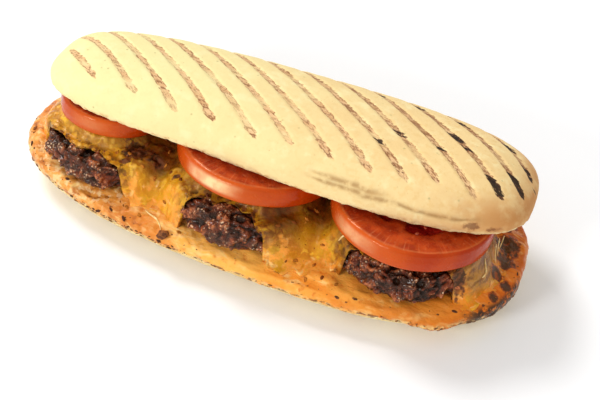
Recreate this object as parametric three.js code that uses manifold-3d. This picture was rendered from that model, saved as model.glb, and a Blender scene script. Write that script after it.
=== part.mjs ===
// A grilled panini, opened a little towards the front. From the bottom up it holds the lower half of
// a long roll, sauce, three beef patties, melted cheese, three tomato slices and the upper half.
// Millimetres. +X runs along the roll, -Y is the open front and +Z is up. The origin is the middle of
// the flat underside.
import * as THREE from "three";
import { mergeVertices } from "three/addons/utils/BufferGeometryUtils.js";
import Module from "manifold-3d";

const wasm = await Module();
wasm.setup();

// Clearance between layers that touch
const GAP = 0.35;

// The roll's two halves are seen from above as rounded oblongs. They taper to the left, their ends
// bend to the back, and the front edge may be tucked in. An inset is measured in from the widest
// outline.
const LOWER = {
  halfLength: 112,
  halfWidth: 43,
  squareness: 2.8,
  taper: 0.14,
  bend: 3,
  tuck: { x: 0, depth: 0, spread: 1 },
  endRise: 3,
};
const LOWER_SIDE = [
  { inset: 12.5, z: 0 },
  { inset: 8.5, z: 1 },
  { inset: 4.2, z: 3.8 },
  { inset: 1.5, z: 7 },
  { inset: 0.2, z: 10.2 },
  { inset: 0, z: 12.3 },
];
const CUT_FACE = { edgeZ: 13.2, middleZ: 15.6, insets: [1, 3, 8, 18, LOWER.halfWidth] };

// The upper half, on its own plane: height 0 is its widest outline. A positive tilt lifts the front.
const UPPER = {
  halfLength: 107.3,
  halfWidth: 38.8,
  squareness: 3.1,
  taper: 0.09,
  bend: 0,
  tuck: { x: -40, depth: 4.2, spread: 37 },
};
const UPPER_PLACE = { x: 1.5, y: 13.9, z: 45.8, tilt: 12.5 };
const CROWN = { height: 16, endDrop: 0.14, shoulder: 2.7, roundness: 0.56 };
const CROWN_INSETS = [0.7, 2.5, 6, 12, 22, UPPER.halfWidth];
const LIP = [
  { inset: 0, z: -0.9 },
  { inset: 0.3, z: -2.4 },
  { inset: 1.6, z: -4.4 },
  { inset: 4.4, z: -6.2 },
];

// Grill marks: grooves pressed slantwise into the crown, evenly spaced along its middle, where the
// first lies just off the left end. Each is a little steeper than the one before. A groove's floor is
// narrower than its mouth, and its cutter stands clear of the crown.
const MARKS = { count: 14, pitch: 16.5, first: -107.7, slant: 41.6, steepening: 0.25 };
const MARK_GROOVE = { width: 2.6, depth: 0.7 };
const MARK_REACH = { front: 5.5, back: 5.5, steps: 5, shortest: 2 };
const MARK_CUTTER = { floor: 0.7, mouth: 1.2, clear: 3 };

// Sauce: a sheet to the rim, with a drip that bulges out and hangs down at the front
const SAUCE = { thickness: 1.3, heap: 1.5, edgeInset: 0.5, edgeWander: 1.2, insets: [4, 11, 20, 31] };
const DRIP = { x: 83.5, spread: 8, outset: 2.4, drop: 4.6, sag: 1.2 };

const PATTIES = [
  { name: "left", x: -73, y: -0.7, radius: 28.5, front: 13.5, back: 8.5, seed: 1 },
  { name: "middle", x: -7.4, y: -8, radius: 32.5, front: 16, back: 8, seed: 2 },
  { name: "right", x: 62.3, y: -7.6, radius: 32, front: 16, back: 8, seed: 3 },
];
const PATTY_UNDERSIDE = CUT_FACE.middleZ + SAUCE.thickness + 2 * GAP;
const CRAG = { outline: 1.3, side: 1.0, top: 0.6 };
const PATTY_PROFILE = [
  { share: 0, rise: 0 },
  { share: 0.9, rise: 0 },
  { share: 1, rise: 0.26 },
  { share: 0.99, rise: 0.64 },
  { share: 0.91, rise: 0.93 },
  { share: 0.62, rise: 1 },
  { share: 0, rise: 1 },
];

// Cheese: a sheet melted over the patties, which runs further down at tongues and rises to cling to
// the slices on it. It drapes widely from a patty to the sauce, and closely at its edge. Its front
// edge lies further forward towards the right, and is drawn back where a tongue's reach is negative.
const CHEESE = {
  left: -106,
  right: 106,
  squareness: 3.4,
  front: 28,
  frontSlope: 0.065,
  back: 25,
  thickness: 2.2,
  edge: 1.0,
  waviness: 0.4,
  drape: 11,
  edgeDrape: 3,
  cling: 3.2,
  shares: [1, 0.92, 0.78, 0.58, 0.3, 0],
  endShrink: 0.08,
};
const FRONT_TONGUES = [
  { x: -46, reach: 7, width: 16 },
  { x: -33, reach: 5, width: 7 },
  { x: 17, reach: 12, width: 15 },
  { x: 78, reach: -5, width: 8 },
  { x: 96, reach: 8, width: 8 },
];
const BACK_TONGUES = [
  { x: -38, reach: 9, width: 14 },
  { x: 30, reach: 12, width: 16 },
  { x: 88, reach: 6, width: 12 },
];

// A slice's place is the middle of its upper face.
const TOMATOES = [
  { name: "left", x: -76.2, y: 7.6, z: 40.9, radius: 23.8, thickness: 8.6, tilt: 10.9, seed: 4 },
  { name: "middle", x: -7.9, y: 5.0, z: 41.6, radius: 35.4, thickness: 9.6, tilt: 11, seed: 5 },
  { name: "right", x: 62.6, y: -4.2, z: 42.8, radius: 34.2, thickness: 9.7, tilt: 9.3, seed: 6 },
];
const TOMATO_FACE = { skin: 1.0, flesh: 0.63, core: 0.3, pocketDepth: 0.9, chambers: 5 };

// Flakes of herb and pepper, fused to the sauce and the cheese
const FLAKE = { length: 2.2, width: 1.3, height: 0.9, sunk: 0.2, spacing: 5.5, tries: 9000 };
const FLAKES = { sauce: { count: 20, seed: 11 }, cheese: { count: 18, seed: 29 } };
const FLAKE_FIELD = { left: -104, right: 104, front: -42, back: 0, clear: 2.5, fromRim: 4.5, cheeseEnd: 96 };

const AROUND = { loaf: 48, patty: 32, cheese: 56, tomato: 32 };

const COLOURS = {
  crust: 0xf2dfae,
  sauce: 0xe8964a,
  beef: 0x4a2a20,
  cheese: 0xdd9f3c,
  tomato: 0xc4431c,
};

const turn = (degrees) => THREE.MathUtils.degToRad(degrees);
const signedPower = (v, power) => Math.sign(v) * Math.abs(v) ** power;

// A soft step from 0 at one value to 1 at another, which may be the smaller of the two
function smooth(from, to, v) {
  const share = THREE.MathUtils.clamp((v - from) / (to - from), 0, 1);
  return share * share * (3 - 2 * share);
}

// Smooth unevenness from -1 to 1 that is the same on every run
function ripple(a, b, seed) {
  return (
    0.5 * Math.sin(a + 1.7 * seed + 1.3 * Math.sin(0.8 * b + seed)) +
    0.3 * Math.sin(1.9 * b + 3.1 * seed + Math.sin(1.1 * a)) +
    0.2 * Math.sin(2.7 * a - 1.6 * b + 0.9 * seed)
  );
}

function* seededNumbers(seed) {
  let state = seed;
  for (;;) {
    state = (state * 1664525 + 1013904223) % 4294967296;
    yield state / 4294967296;
  }
}

// A closed surface through rings of equally many points. The first and last rings are folded flat
// onto a line or a point, so that they close it.
function loft(rings) {
  const around = rings[0].length;
  const positions = rings.flat().flatMap((p) => [p.x, p.y, p.z]);
  const index = [];
  for (let ring = 0; ring + 1 < rings.length; ring++) {
    for (let i = 0; i < around; i++) {
      const [a, b] = [ring * around + i, ring * around + ((i + 1) % around)];
      const [c, d] = [b + around, a + around];
      index.push(a, b, c, a, c, d);
    }
  }
  const geometry = new THREE.BufferGeometry();
  geometry.setAttribute("position", new THREE.Float32BufferAttribute(positions, 3));
  geometry.setIndex(index);
  return geometry;
}

// The geometry as a solid that can be joined and cut
function solid(geometry) {
  const merged = mergeVertices(geometry, 1e-3);
  const vertProperties = new Float32Array(merged.attributes.position.array);
  const corners = merged.index.array;
  const triVerts = [];
  for (let i = 0; i < corners.length; i += 3) {
    const [a, b, c] = corners.slice(i, i + 3);
    if (a !== b && b !== c && c !== a) triVerts.push(a, b, c);
  }
  return new wasm.Manifold(
    new wasm.Mesh({ numProp: 3, vertProperties, triVerts: new Uint32Array(triVerts) }),
  );
}

const without = (body, cutters) => cutters.reduce((left, cutter) => left.subtract(cutter), body);

// The largest body of a solid, as a mesh with flat faces
function meshOf(name, body, colour, roughness) {
  const largest = body.decompose().sort((a, b) => b.volume() - a.volume())[0];
  const { vertProperties, triVerts } = largest.getMesh();
  const geometry = new THREE.BufferGeometry();
  geometry.setAttribute("position", new THREE.BufferAttribute(vertProperties, 3));
  geometry.setIndex(new THREE.BufferAttribute(triVerts, 1));
  const flat = geometry.toNonIndexed();
  flat.computeVertexNormals();
  const mesh = new THREE.Mesh(
    flat,
    new THREE.MeshStandardMaterial({ color: colour, roughness, metalness: 0 }),
  );
  mesh.name = name;
  return mesh;
}

const bendAt = (loaf, x) => loaf.bend * (x / loaf.halfLength) ** 2;

// Half the width of a loaf at the front or the back
function halfWidthAt(loaf, x, spread, isFront) {
  const full = loaf.halfWidth * (1 + (loaf.taper * x) / loaf.halfLength);
  const tuck = loaf.tuck.depth * Math.exp(-(((x - loaf.tuck.x) / loaf.tuck.spread) ** 2));
  return spread * (isFront ? full - tuck : full);
}

// A ring of a loaf's outline, brought in by an inset. At an inset of half the width it is a line.
function loafRing(loaf, inset, heightAt, wander = () => 0) {
  const ring = [];
  for (let i = 0; i < AROUND.loaf; i++) {
    const angle = (2 * Math.PI * i) / AROUND.loaf;
    const power = 2 / loaf.squareness;
    const along = signedPower(Math.cos(angle), power);
    const across = signedPower(Math.sin(angle), power);
    const isFront = across < 0;
    const inward = inset + wander(angle, along * loaf.halfLength, isFront);
    const spread = Math.max(0, 1 - inward / loaf.halfWidth);
    const x = along * (loaf.halfLength - (1 - spread) * loaf.halfWidth);
    const y = across * halfWidthAt(loaf, x, spread, isFront) + bendAt(loaf, x);
    ring.push(new THREE.Vector3(x, y, heightAt(x, y, isFront)));
  }
  return ring;
}

// The ends of the lower half curl up, all but its flat underside.
const curledUp = (x, z) => z + (LOWER.endRise * (x / LOWER.halfLength) ** 4 * z) / CUT_FACE.middleZ;

function cutFaceHeight(x, inset) {
  const share = Math.min(1, inset / LOWER.halfWidth);
  return curledUp(x, CUT_FACE.middleZ - (CUT_FACE.middleZ - CUT_FACE.edgeZ) * (1 - share) ** 6);
}

function lowerHalf(grow = 0) {
  const rings = [loafRing(LOWER, LOWER.halfWidth, () => LOWER_SIDE[0].z)];
  for (const { inset, z } of LOWER_SIDE) {
    rings.push(loafRing(LOWER, inset - grow, (x) => curledUp(x, z)));
  }
  for (const inset of CUT_FACE.insets) {
    rings.push(loafRing(LOWER, inset, (x) => cutFaceHeight(x, inset) + grow));
  }
  return solid(loft(rings));
}

// The crown's height above the widest outline
function crownHeight(x, inset) {
  const share = Math.min(1, inset / UPPER.halfWidth);
  const profile = (1 - (1 - share) ** CROWN.shoulder) ** CROWN.roundness;
  return CROWN.height * profile * (1 - CROWN.endDrop * (x / UPPER.halfLength) ** 2);
}

// How far a point lies in from a loaf's widest outline
function insetAt(loaf, x, y) {
  const across = y - bendAt(loaf, x);
  let [low, high] = [0, loaf.halfWidth];
  for (let i = 0; i < 30; i++) {
    const inset = (low + high) / 2;
    const spread = 1 - inset / loaf.halfWidth;
    const lengthShare = Math.abs(x) / (loaf.halfLength - inset);
    const widthShare = Math.abs(across) / halfWidthAt(loaf, x, spread, across < 0);
    const isWithin = lengthShare ** loaf.squareness + widthShare ** loaf.squareness < 1;
    if (isWithin) low = inset;
    else high = inset;
  }
  return low;
}

const crownAt = (x, y) => crownHeight(x, insetAt(UPPER, x, y));

// One grill mark's cutter: a bar that follows the crown from back to front
function markCutter(number) {
  const slant = turn(MARKS.slant + MARKS.steepening * number);
  const slope = 1 / Math.tan(slant);
  const middle = MARKS.first + number * MARKS.pitch;
  const onLoaf = [];
  for (let y = UPPER.halfWidth; y >= -UPPER.halfWidth; y -= 0.5) {
    const reach = y > 0 ? MARK_REACH.back : MARK_REACH.front;
    if (insetAt(UPPER, middle - y * slope, y) > reach) onLoaf.push(y);
  }
  if (onLoaf.length < MARK_REACH.shortest) return null;
  const halfX = MARK_GROOVE.width / 2 / Math.sin(slant);
  const { floor, mouth, clear } = MARK_CUTTER;
  const rings = [];
  for (let step = 0; step <= MARK_REACH.steps; step++) {
    const y = THREE.MathUtils.lerp(onLoaf[0], onLoaf.at(-1), step / MARK_REACH.steps);
    const x = middle - y * slope;
    const z = crownAt(x, y);
    const corner = (side, rise) => new THREE.Vector3(x + side * halfX, y, z + rise);
    rings.push([
      corner(-floor, -MARK_GROOVE.depth),
      corner(floor, -MARK_GROOVE.depth),
      corner(mouth, clear),
      corner(-mouth, clear),
    ]);
  }
  const capOf = (ring) => {
    const middlePoint = ring.reduce((sum, p) => sum.clone().add(p)).multiplyScalar(1 / ring.length);
    return ring.map(() => middlePoint);
  };
  return solid(loft([capOf(rings[0]), ...rings, capOf(rings.at(-1))]));
}

function placeUpper(body) {
  const { x, y, z, tilt } = UPPER_PLACE;
  return body.rotate([-tilt, 0, 0]).translate([x, y, z]);
}

function upperHalf(dents) {
  const rings = [loafRing(UPPER, UPPER.halfWidth, () => LIP.at(-1).z)];
  for (const { inset, z } of [...LIP].reverse()) rings.push(loafRing(UPPER, inset, () => z));
  for (const inset of CROWN_INSETS) rings.push(loafRing(UPPER, inset, (x) => crownHeight(x, inset)));
  let body = solid(loft(rings));
  for (let number = 0; number < MARKS.count; number++) {
    const cutter = markCutter(number);
    if (cutter) body = body.subtract(cutter);
  }
  return without(placeUpper(body), dents);
}

// How far a point lies inside a patty's rim, negative outside it
const insidePatty = (patty, x, y) => patty.radius - Math.hypot(x - patty.x, y - patty.y);

const pattyTop = (patty, y) => {
  const share = THREE.MathUtils.clamp((y - patty.y) / patty.radius / 2 + 0.5, 0, 1);
  return PATTY_UNDERSIDE + THREE.MathUtils.lerp(patty.front, patty.back, share);
};

// The sauce heaps up only where no patty presses on it.
function sauceHeap(x, y) {
  const free = Math.min(...PATTIES.map((patty) => smooth(-1, -5, insidePatty(patty, x, y))));
  return SAUCE.heap * free * (0.5 + 0.5 * ripple(0.16 * x, 0.2 * y, 7));
}

// How far the sauce at the rim is on its way down the drip, from 0 to 1
const dripAt = (x, isFront) => (isFront ? Math.exp(-(((x - DRIP.x) / DRIP.spread) ** 2)) : 0);

// The sauce before the lower half is cut from it, its top raised by a clearance
function sauceSheet(rise) {
  const wander = (angle, x, isFront) =>
    SAUCE.edgeWander * (0.5 + 0.5 * ripple(5 * angle, 3 * angle, 8)) - DRIP.outset * dripAt(x, isFront);
  const underside = (x, y, isFront) => LOWER_SIDE.at(-1).z - DRIP.drop * dripAt(x, isFront);
  const top = (inset) => (x, y) =>
    cutFaceHeight(x, inset) + GAP + SAUCE.thickness + sauceHeap(x, y) + rise;
  const edgeTop = (x, y, isFront) => top(SAUCE.edgeInset)(x, y) - DRIP.sag * dripAt(x, isFront);
  const inner = [...SAUCE.insets, LOWER.halfWidth];
  return solid(
    loft([
      loafRing(LOWER, LOWER.halfWidth, () => LOWER_SIDE.at(-1).z),
      loafRing(LOWER, SAUCE.edgeInset, underside, wander),
      loafRing(LOWER, SAUCE.edgeInset, edgeTop, wander),
      ...inner.map((inset) => loafRing(LOWER, inset, top(inset))),
    ]),
  );
}

// A minced patty: a thick disc with a lobed rim and craggy sides, higher at the front
function pattyBody(patty, grow = 0) {
  const pointAt = ({ share, rise }, ring, angle) => {
    const lobes = CRAG.outline * ripple(3 * angle, 5 * angle, patty.seed);
    const crag = CRAG.side * ripple(9.3 * angle + 2.1 * ring, 3.7 * ring, patty.seed + 3);
    const radius = share > 0 ? share * (patty.radius + lobes) + share * crag + grow : 0;
    const x = patty.x + radius * Math.cos(angle);
    const y = patty.y + radius * Math.sin(angle);
    const bump = share > 0 && rise > 0.6 ? CRAG.top * ripple(0.5 * x, 0.45 * y, patty.seed) : 0;
    const top = pattyTop(patty, y) + grow;
    return new THREE.Vector3(x, y, THREE.MathUtils.lerp(PATTY_UNDERSIDE - grow, top, rise) + bump);
  };
  const rings = PATTY_PROFILE.map((level, ring) =>
    Array.from({ length: AROUND.patty }, (_, i) => pointAt(level, ring, (2 * Math.PI * i) / AROUND.patty)),
  );
  return solid(loft(rings));
}

// The height of what the cheese melts over: the sauce, rising softly to the patties' tops
function deck(x, y, drape) {
  const sauceTop = cutFaceHeight(x, insetAt(LOWER, x, y)) + GAP + SAUCE.thickness;
  let [open, weight, height] = [1, 0, 0];
  for (const patty of PATTIES) {
    const climb = smooth(-drape, 2, insidePatty(patty, x, y));
    open *= 1 - climb;
    weight += climb;
    height += climb * pattyTop(patty, y);
  }
  return weight > 0 ? THREE.MathUtils.lerp(sauceTop, height / weight, 1 - open) : sauceTop;
}

// How far the cheese at this height rises to cling to the slices over it
function clingTo(x, y, z) {
  return TOMATOES.reduce((rise, slice) => {
    const underside = slice.z - slice.thickness - (y - slice.y) * Math.tan(turn(slice.tilt));
    const near = smooth(1.5, -2, Math.hypot(x - slice.x, y - slice.y) - slice.radius);
    return Math.max(rise, near * THREE.MathUtils.clamp(underside - z, 0, CHEESE.cling));
  }, 0);
}

function cheeseReach(x, isFront) {
  const tongues = isFront ? FRONT_TONGUES : BACK_TONGUES;
  const start = isFront ? CHEESE.front + CHEESE.frontSlope * x : CHEESE.back;
  const middle = (CHEESE.left + CHEESE.right) / 2;
  const along = Math.min(1, Math.abs(x - middle) / (CHEESE.right - middle));
  const rounding = (1 - along ** CHEESE.squareness) ** (1 / CHEESE.squareness);
  return rounding * tongues.reduce((y, t) => y + t.reach * Math.exp(-(((x - t.x) / t.width) ** 2)), start);
}

// The cheese's outline: along the front to the right and back along the rear, at the same places
function cheeseOutline() {
  const places = [];
  for (let step = 0; step <= AROUND.cheese / 2; step++) {
    const even = (4 * step) / AROUND.cheese - 1;
    const along = THREE.MathUtils.lerp(even, Math.sin((Math.PI / 2) * even), 0.4);
    places.push(THREE.MathUtils.lerp(CHEESE.left, CHEESE.right, (along + 1) / 2));
  }
  const front = places.map((x) => new THREE.Vector3(x, -cheeseReach(x, true), 0));
  const rear = places.slice(1, -1).map((x) => new THREE.Vector3(x, cheeseReach(x, false), 0));
  return [...front, ...rear.reverse()];
}

function cheeseBody(cutters) {
  const outline = cheeseOutline();
  const ringAt = (share, heightAt) =>
    outline.map((p) => {
      const x = p.x * (1 - CHEESE.endShrink * (1 - share));
      return new THREE.Vector3(x, p.y * share, heightAt(x, p.y * share));
    });
  const top = (share) => (x, y) => {
    const drape = THREE.MathUtils.lerp(CHEESE.edgeDrape, CHEESE.drape, smooth(1, 0.72, share));
    if (share === 1) return deck(x, y, drape) + GAP + CHEESE.edge;
    const wave = CHEESE.waviness * ripple(0.13 * x, 0.17 * y, 9);
    const z = deck(x, y, drape) + GAP + CHEESE.thickness + wave;
    return z + clingTo(x, y, z);
  };
  const floor = () => LOWER_SIDE.at(-1).z;
  const upper = CHEESE.shares.map((share) => ringAt(share, top(share)));
  const blanket = solid(loft([ringAt(0, floor), ringAt(1, floor), ...upper]));
  return without(withFlakes(without(blanket, cutters), "cheese"), cutters);
}

// A tomato slice, face up round its own centre: skin, a ring of flesh, sunk seed chambers and a core
function tomatoBody(slice, grow = 0) {
  const { skin, flesh, core, pocketDepth, chambers } = TOMATO_FACE;
  const depth = slice.thickness;
  const profile = [
    [0, -depth, 0],
    [0.95, -depth, 0],
    [1.0, -depth + skin, 0],
    [1.01, -depth / 2, 0],
    [0.995, -skin, 0],
    [0.95, 0, 0],
    [flesh, 0, 0],
    [flesh - 0.07, 0, 1],
    [core + 0.06, 0, 1],
    [core, 0, 0],
    [0, 0, 0],
  ];
  const rings = profile.map(([share, height, pocket]) => {
    const points = [];
    for (let i = 0; i < AROUND.tomato; i++) {
      const angle = (2 * Math.PI * i) / AROUND.tomato;
      const lobes = 0.5 * ripple(2 * angle, 3 * angle, slice.seed);
      const radius = share > 0 ? share * (slice.radius + lobes) + grow : 0;
      const wall = Math.cos((chambers * angle) / 2 + slice.seed) ** 2;
      const sunk = pocket * pocketDepth * smooth(0.06, 0.35, wall);
      const swell = height < -depth / 2 ? -grow : grow;
      const z = height - sunk + swell;
      points.push(new THREE.Vector3(radius * Math.cos(angle), radius * Math.sin(angle), z));
    }
    return points;
  });
  return solid(loft(rings)).rotate([-slice.tilt, 0, 0]).translate([slice.x, slice.y, slice.z]);
}

// Where flakes lie: in view at the front, on the layer named, clear of everything else
function flakePlaces(layer) {
  const random = seededNumbers(FLAKES[layer].seed);
  const draw = (from, to) => THREE.MathUtils.lerp(from, to, random.next().value);
  const { left, right, front, back, clear, fromRim, cheeseEnd } = FLAKE_FIELD;
  const places = [];
  for (let tries = 0; tries < FLAKE.tries && places.length < FLAKES[layer].count; tries++) {
    const [x, y, spin] = [draw(left, right), draw(front, back), draw(0, 180)];
    const toPatty = Math.max(...PATTIES.map((patty) => insidePatty(patty, x, y)));
    const pastCheese = -y - cheeseReach(x, true);
    const isCovered = TOMATOES.some((t) => Math.hypot(x - t.x, y - t.y) < t.radius + clear);
    const isSpaced = places.every((p) => Math.hypot(p.x - x, p.y - y) > FLAKE.spacing);
    const isOnCheese = pastCheese < -clear && !isCovered && Math.abs(x) < cheeseEnd;
    const isOnSauce = pastCheese > clear && toPatty < -clear && insetAt(LOWER, x, y) > fromRim;
    if (isSpaced && (layer === "sauce" ? isOnSauce : isOnCheese)) places.push({ x, y, spin });
  }
  return places;
}

// Fuses flakes to a body, each sunk a little into the surface under it
function withFlakes(body, layer) {
  for (const { x, y, spin } of flakePlaces(layer)) {
    const surface = surfaceUnder(body, x, y);
    const flake = new THREE.IcosahedronGeometry(0.5, 0);
    flake.deleteAttribute("uv");
    flake.deleteAttribute("normal");
    flake.scale(FLAKE.length, FLAKE.width, FLAKE.height).rotateZ(turn(spin));
    flake.translate(x, y, surface + FLAKE.height / 2 - FLAKE.sunk);
    body = body.add(solid(flake));
  }
  return body;
}

// The height of the highest face of a body over one point
function surfaceUnder(body, x, y) {
  const { vertProperties: v, triVerts, numProp } = body.getMesh();
  const corner = (i) => new THREE.Vector3().fromArray(v, triVerts[i] * numProp);
  const ray = new THREE.Ray(new THREE.Vector3(x, y, 100), new THREE.Vector3(0, 0, -1));
  let highest = -Infinity;
  for (let i = 0; i < triVerts.length; i += 3) {
    const hit = ray.intersectTriangle(corner(i), corner(i + 1), corner(i + 2), true, new THREE.Vector3());
    if (hit) highest = Math.max(highest, hit.z);
  }
  return highest;
}

const panini = new THREE.Group();

panini.add(meshOf("bread_lower", lowerHalf(), COLOURS.crust, 0.85));

const spread = sauceSheet(0).subtract(lowerHalf(GAP));
panini.add(meshOf("sauce", withFlakes(spread, "sauce"), COLOURS.sauce, 0.4));

for (const patty of PATTIES) {
  const beef = without(pattyBody(patty), [sauceSheet(GAP)]);
  panini.add(meshOf(`patty_${patty.name}`, beef, COLOURS.beef, 0.7));
}

const underCheese = [
  lowerHalf(GAP),
  sauceSheet(GAP),
  ...PATTIES.map((patty) => pattyBody(patty, GAP)),
  ...TOMATOES.map((slice) => tomatoBody(slice, GAP)),
];
panini.add(meshOf("cheese", cheeseBody(underCheese), COLOURS.cheese, 0.35));

for (const slice of TOMATOES) {
  panini.add(meshOf(`tomato_${slice.name}`, tomatoBody(slice), COLOURS.tomato, 0.25));
}

const dents = TOMATOES.map((slice) => tomatoBody(slice, GAP));
panini.add(meshOf("bread_upper", upperHalf(dents), COLOURS.crust, 0.85));

export default panini;
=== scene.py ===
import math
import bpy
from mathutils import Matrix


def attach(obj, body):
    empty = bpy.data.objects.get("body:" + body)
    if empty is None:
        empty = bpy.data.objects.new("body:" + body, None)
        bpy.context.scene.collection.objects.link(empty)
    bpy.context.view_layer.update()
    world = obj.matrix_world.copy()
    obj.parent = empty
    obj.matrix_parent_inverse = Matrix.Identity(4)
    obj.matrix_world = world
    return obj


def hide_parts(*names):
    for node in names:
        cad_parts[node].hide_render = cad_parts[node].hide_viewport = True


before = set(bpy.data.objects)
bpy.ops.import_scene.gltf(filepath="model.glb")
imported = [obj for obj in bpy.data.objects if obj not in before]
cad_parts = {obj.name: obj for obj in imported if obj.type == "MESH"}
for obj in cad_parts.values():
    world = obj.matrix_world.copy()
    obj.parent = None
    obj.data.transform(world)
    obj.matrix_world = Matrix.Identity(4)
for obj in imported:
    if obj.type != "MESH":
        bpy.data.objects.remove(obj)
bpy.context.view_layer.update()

# A grilled panini, opened a little towards the front, over beef patties, melted cheese, tomato
# slices and sauce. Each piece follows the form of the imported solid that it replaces, with the fine
# relief and the colours on top. Shapes are worked out in millimetres and become metres in a mesh.
from types import SimpleNamespace as Named

import bmesh
import bpy
import numpy as np
from mathutils import Matrix, Vector
from mathutils.bvhtree import BVHTree

# A millimetre in metres, and the gap between layers that lie on each other
MM = 0.001
GAP = 0.35

# Camera, as fitted to the photograph's outlines
CAMERA = Named(
    azimuth=13.03, elevation=46.05, roll=7.93, distance=615.8, aim=(11.85, 4.0, 14.42),
    lens=85, sensor=36, nearest=10,
)

# A sun at the back left, a soft light at the front left and an even white sky, over a pale floor. The
# lights' places are in metres.
KEY_LIGHT = Named(place=(-1.5, 0.9, 1.9), power=1.58, angle=20)
SIDE_LIGHT = Named(place=(-1.0, -1.6, 0.9), power=18, size=0.5)
SKY_POWER = 0.68
FLOOR_GREY = 0.94
FLOOR_SIDE = 3000

# How many points go round each piece, and along and across the cheese
AROUND = Named(roll=640, sauce=620, patty=380, slice=280)
CHEESE_GRID = Named(along=310, across=142)

# The two halves of the roll, as in the solids. Lengths and widths go from the middle to the edge, and
# the corners of a profile are (inset, height).
LOWER = Named(length=112, width=43, squareness=2.8, taper=0.14, bend=3, tuck=0, tuck_x=0, tuck_spread=1)
LOWER_SIDE = [(12.5, 0), (8.5, 1), (4.2, 3.8), (1.5, 7), (0.2, 10.2), (0, 12.3)]
LOWER_END_RISE = 3
CUT_EDGE_Z = 13.2
CUT_MIDDLE_Z = 15.6

UPPER = Named(
    length=107.3, width=38.8, squareness=3.1, taper=0.09, bend=0, tuck=4.2, tuck_x=-40, tuck_spread=37,
)
UPPER_PLACE = Named(x=1.5, y=13.9, z=45.8, tilt=12.5)
CROWN = Named(height=16, end_drop=0.14, shoulder=2.7, roundness=0.56)
LIP = [(4.4, -6.2), (1.6, -4.4), (0.3, -2.4), (0, -0.9)]

# Grill marks, each a little steeper than the one before. Some are charred: at each mark's number, the
# places of the burnt stretches from front to back and half their lengths.
MARKS = Named(count=14, pitch=16.5, first=-107.7, slant=41.6, steepening=0.25)
MARK = Named(half_width=1.55, depth=0.5, back=3, tail=3)
CHARRED = {
    8: [(-26, 0.9), (-15, 1.4)],
    9: [(-5, 1.4)],
    10: [(-6, 1.2), (25, 1.2)],
    11: [(-17, 5), (-0.5, 1.4), (5.5, 3), (25.5, 2)],
    12: [(-8.5, 4.8), (22, 2)],
    13: [(0, 8), (17.5, 2.5)],
}

# How far in from the crown's front edge each mark ends
MARK_FRONTS = [6, 6, 4.2, 5.2, 5, 7.2, 7.2, 6.8, 7, 9, 5.6, 5.8, 3.2, 0.3]

# Folds over the front lip, from one x to another at a height on the crown, and the toasted spots at
# and near their end: (x, height, radius)
FOLDS = [(14, 94, 2.9), (16, 56, 4.9)]
FOLD = Named(width=0.9, depth=0.8)
TOASTED = [(86, 0.6, 7), (95, -1.2, 5)]

# Sauce, with the film that it leaves down the rim's side, and the scorched spots: (x, y, radius)
SAUCE = Named(thickness=1.3, heap=1.5, film=0.5, run=2.7)
DRIP = Named(x=83.5, spread=8, outset=2.4, drop=4.6, sag=1.2)
SCORCHED = [(103, 10, 8), (104, 0, 6), (102, -9, 4.5), (107, -12, 4), (104, -19, 3), (100, 22, 6)]

# Patties, each with its thickness at the front and at the back. The corners of their side are shares
# of the radius and of the thickness.
PATTIES = {
    "left": Named(x=-73, y=-0.7, radius=28.5, front=13.5, back=8.5, seed=1),
    "middle": Named(x=-7.4, y=-8, radius=32.5, front=16, back=8, seed=2),
    "right": Named(x=62.3, y=-7.6, radius=32, front=16, back=8, seed=3),
}
PATTY_UNDERSIDE = CUT_MIDDLE_Z + SAUCE.thickness + 2 * GAP
PATTY_SIDE = [(0, 0), (0.9, 0), (1, 0.26), (0.99, 0.64), (0.91, 0.93), (0.62, 1), (0, 1)]

# Cheese, from end to end and how far it runs to the front and the back, with the tongues beyond that:
# (x, reach, width)
CHEESE = Named(left=-106, right=106, squareness=3.4, front=28, front_slope=0.065, back=25)
CHEESE_LAYER = Named(thickness=2.2, edge=0.35, drape=11, edge_drape=3, cling=3.2, end_share=0.08)
FRONT_TONGUES = [(-46, 7, 16), (-33, 5, 7), (17, 12, 15), (78, -5, 8), (96, 8, 8)]
BACK_TONGUES = [(-38, 9, 14), (30, 12, 16), (88, 6, 12)]

# Where the cheese has worn off the meat: (x, y, radius)
BARE_SPOTS = [(-57, -14, 10), (-48, -15, 6), (-36, -22, 2.5), (2, -33, 2), (-60, -21, 4), (88.5, -26, 5)]

# Where shade is painted darkest on the cheese, between and under the slices: (x, y, radius)
PAINTED_SHADE_SPOTS = [(-49, -6, 20), (-57, -15, 10), (-45, -13, 13), (27, -14, 15), (11, -26, 13), (90, -12, 10)]

# Tomato slices. One side of each has a painted highlight: at which degrees round the slice, and how
# much. Flesh and core are shares of the radius.
TOMATOES = {
    "left": Named(x=-76.2, y=7.6, z=40.9, radius=23.8, thickness=8.6, tilt=10.9, seed=4, pale=(-94, 0.12)),
    "middle": Named(x=-7.9, y=5.0, z=41.6, radius=35.4, thickness=9.6, tilt=11, seed=5, pale=(-107, 0.95)),
    "right": Named(x=62.6, y=-4.2, z=42.8, radius=34.2, thickness=9.7, tilt=9.3, seed=6, pale=(-124, 0.4)),
}
TOMATO_FACE = Named(skin=1.0, flesh=0.63, core=0.3, pocket=0.9, chambers=5)
SEED = Named(length=2.6, width=1.6, height=0.8, count=6, seed=5)

# Flakes of herb and pepper, at the places of the flakes fused to the solids
FLAKE = Named(length=2.2, width=1.3, height=0.7, sunk=0.25, spacing=5.5, tries=9000)
FLAKE_FIELD = Named(left=-104, right=104, front=-42, back=0, clear=2.5, from_rim=4.5, cheese_end=96)
FLAKES = {"sauce": (20, 11), "cheese": (18, 29)}

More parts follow.
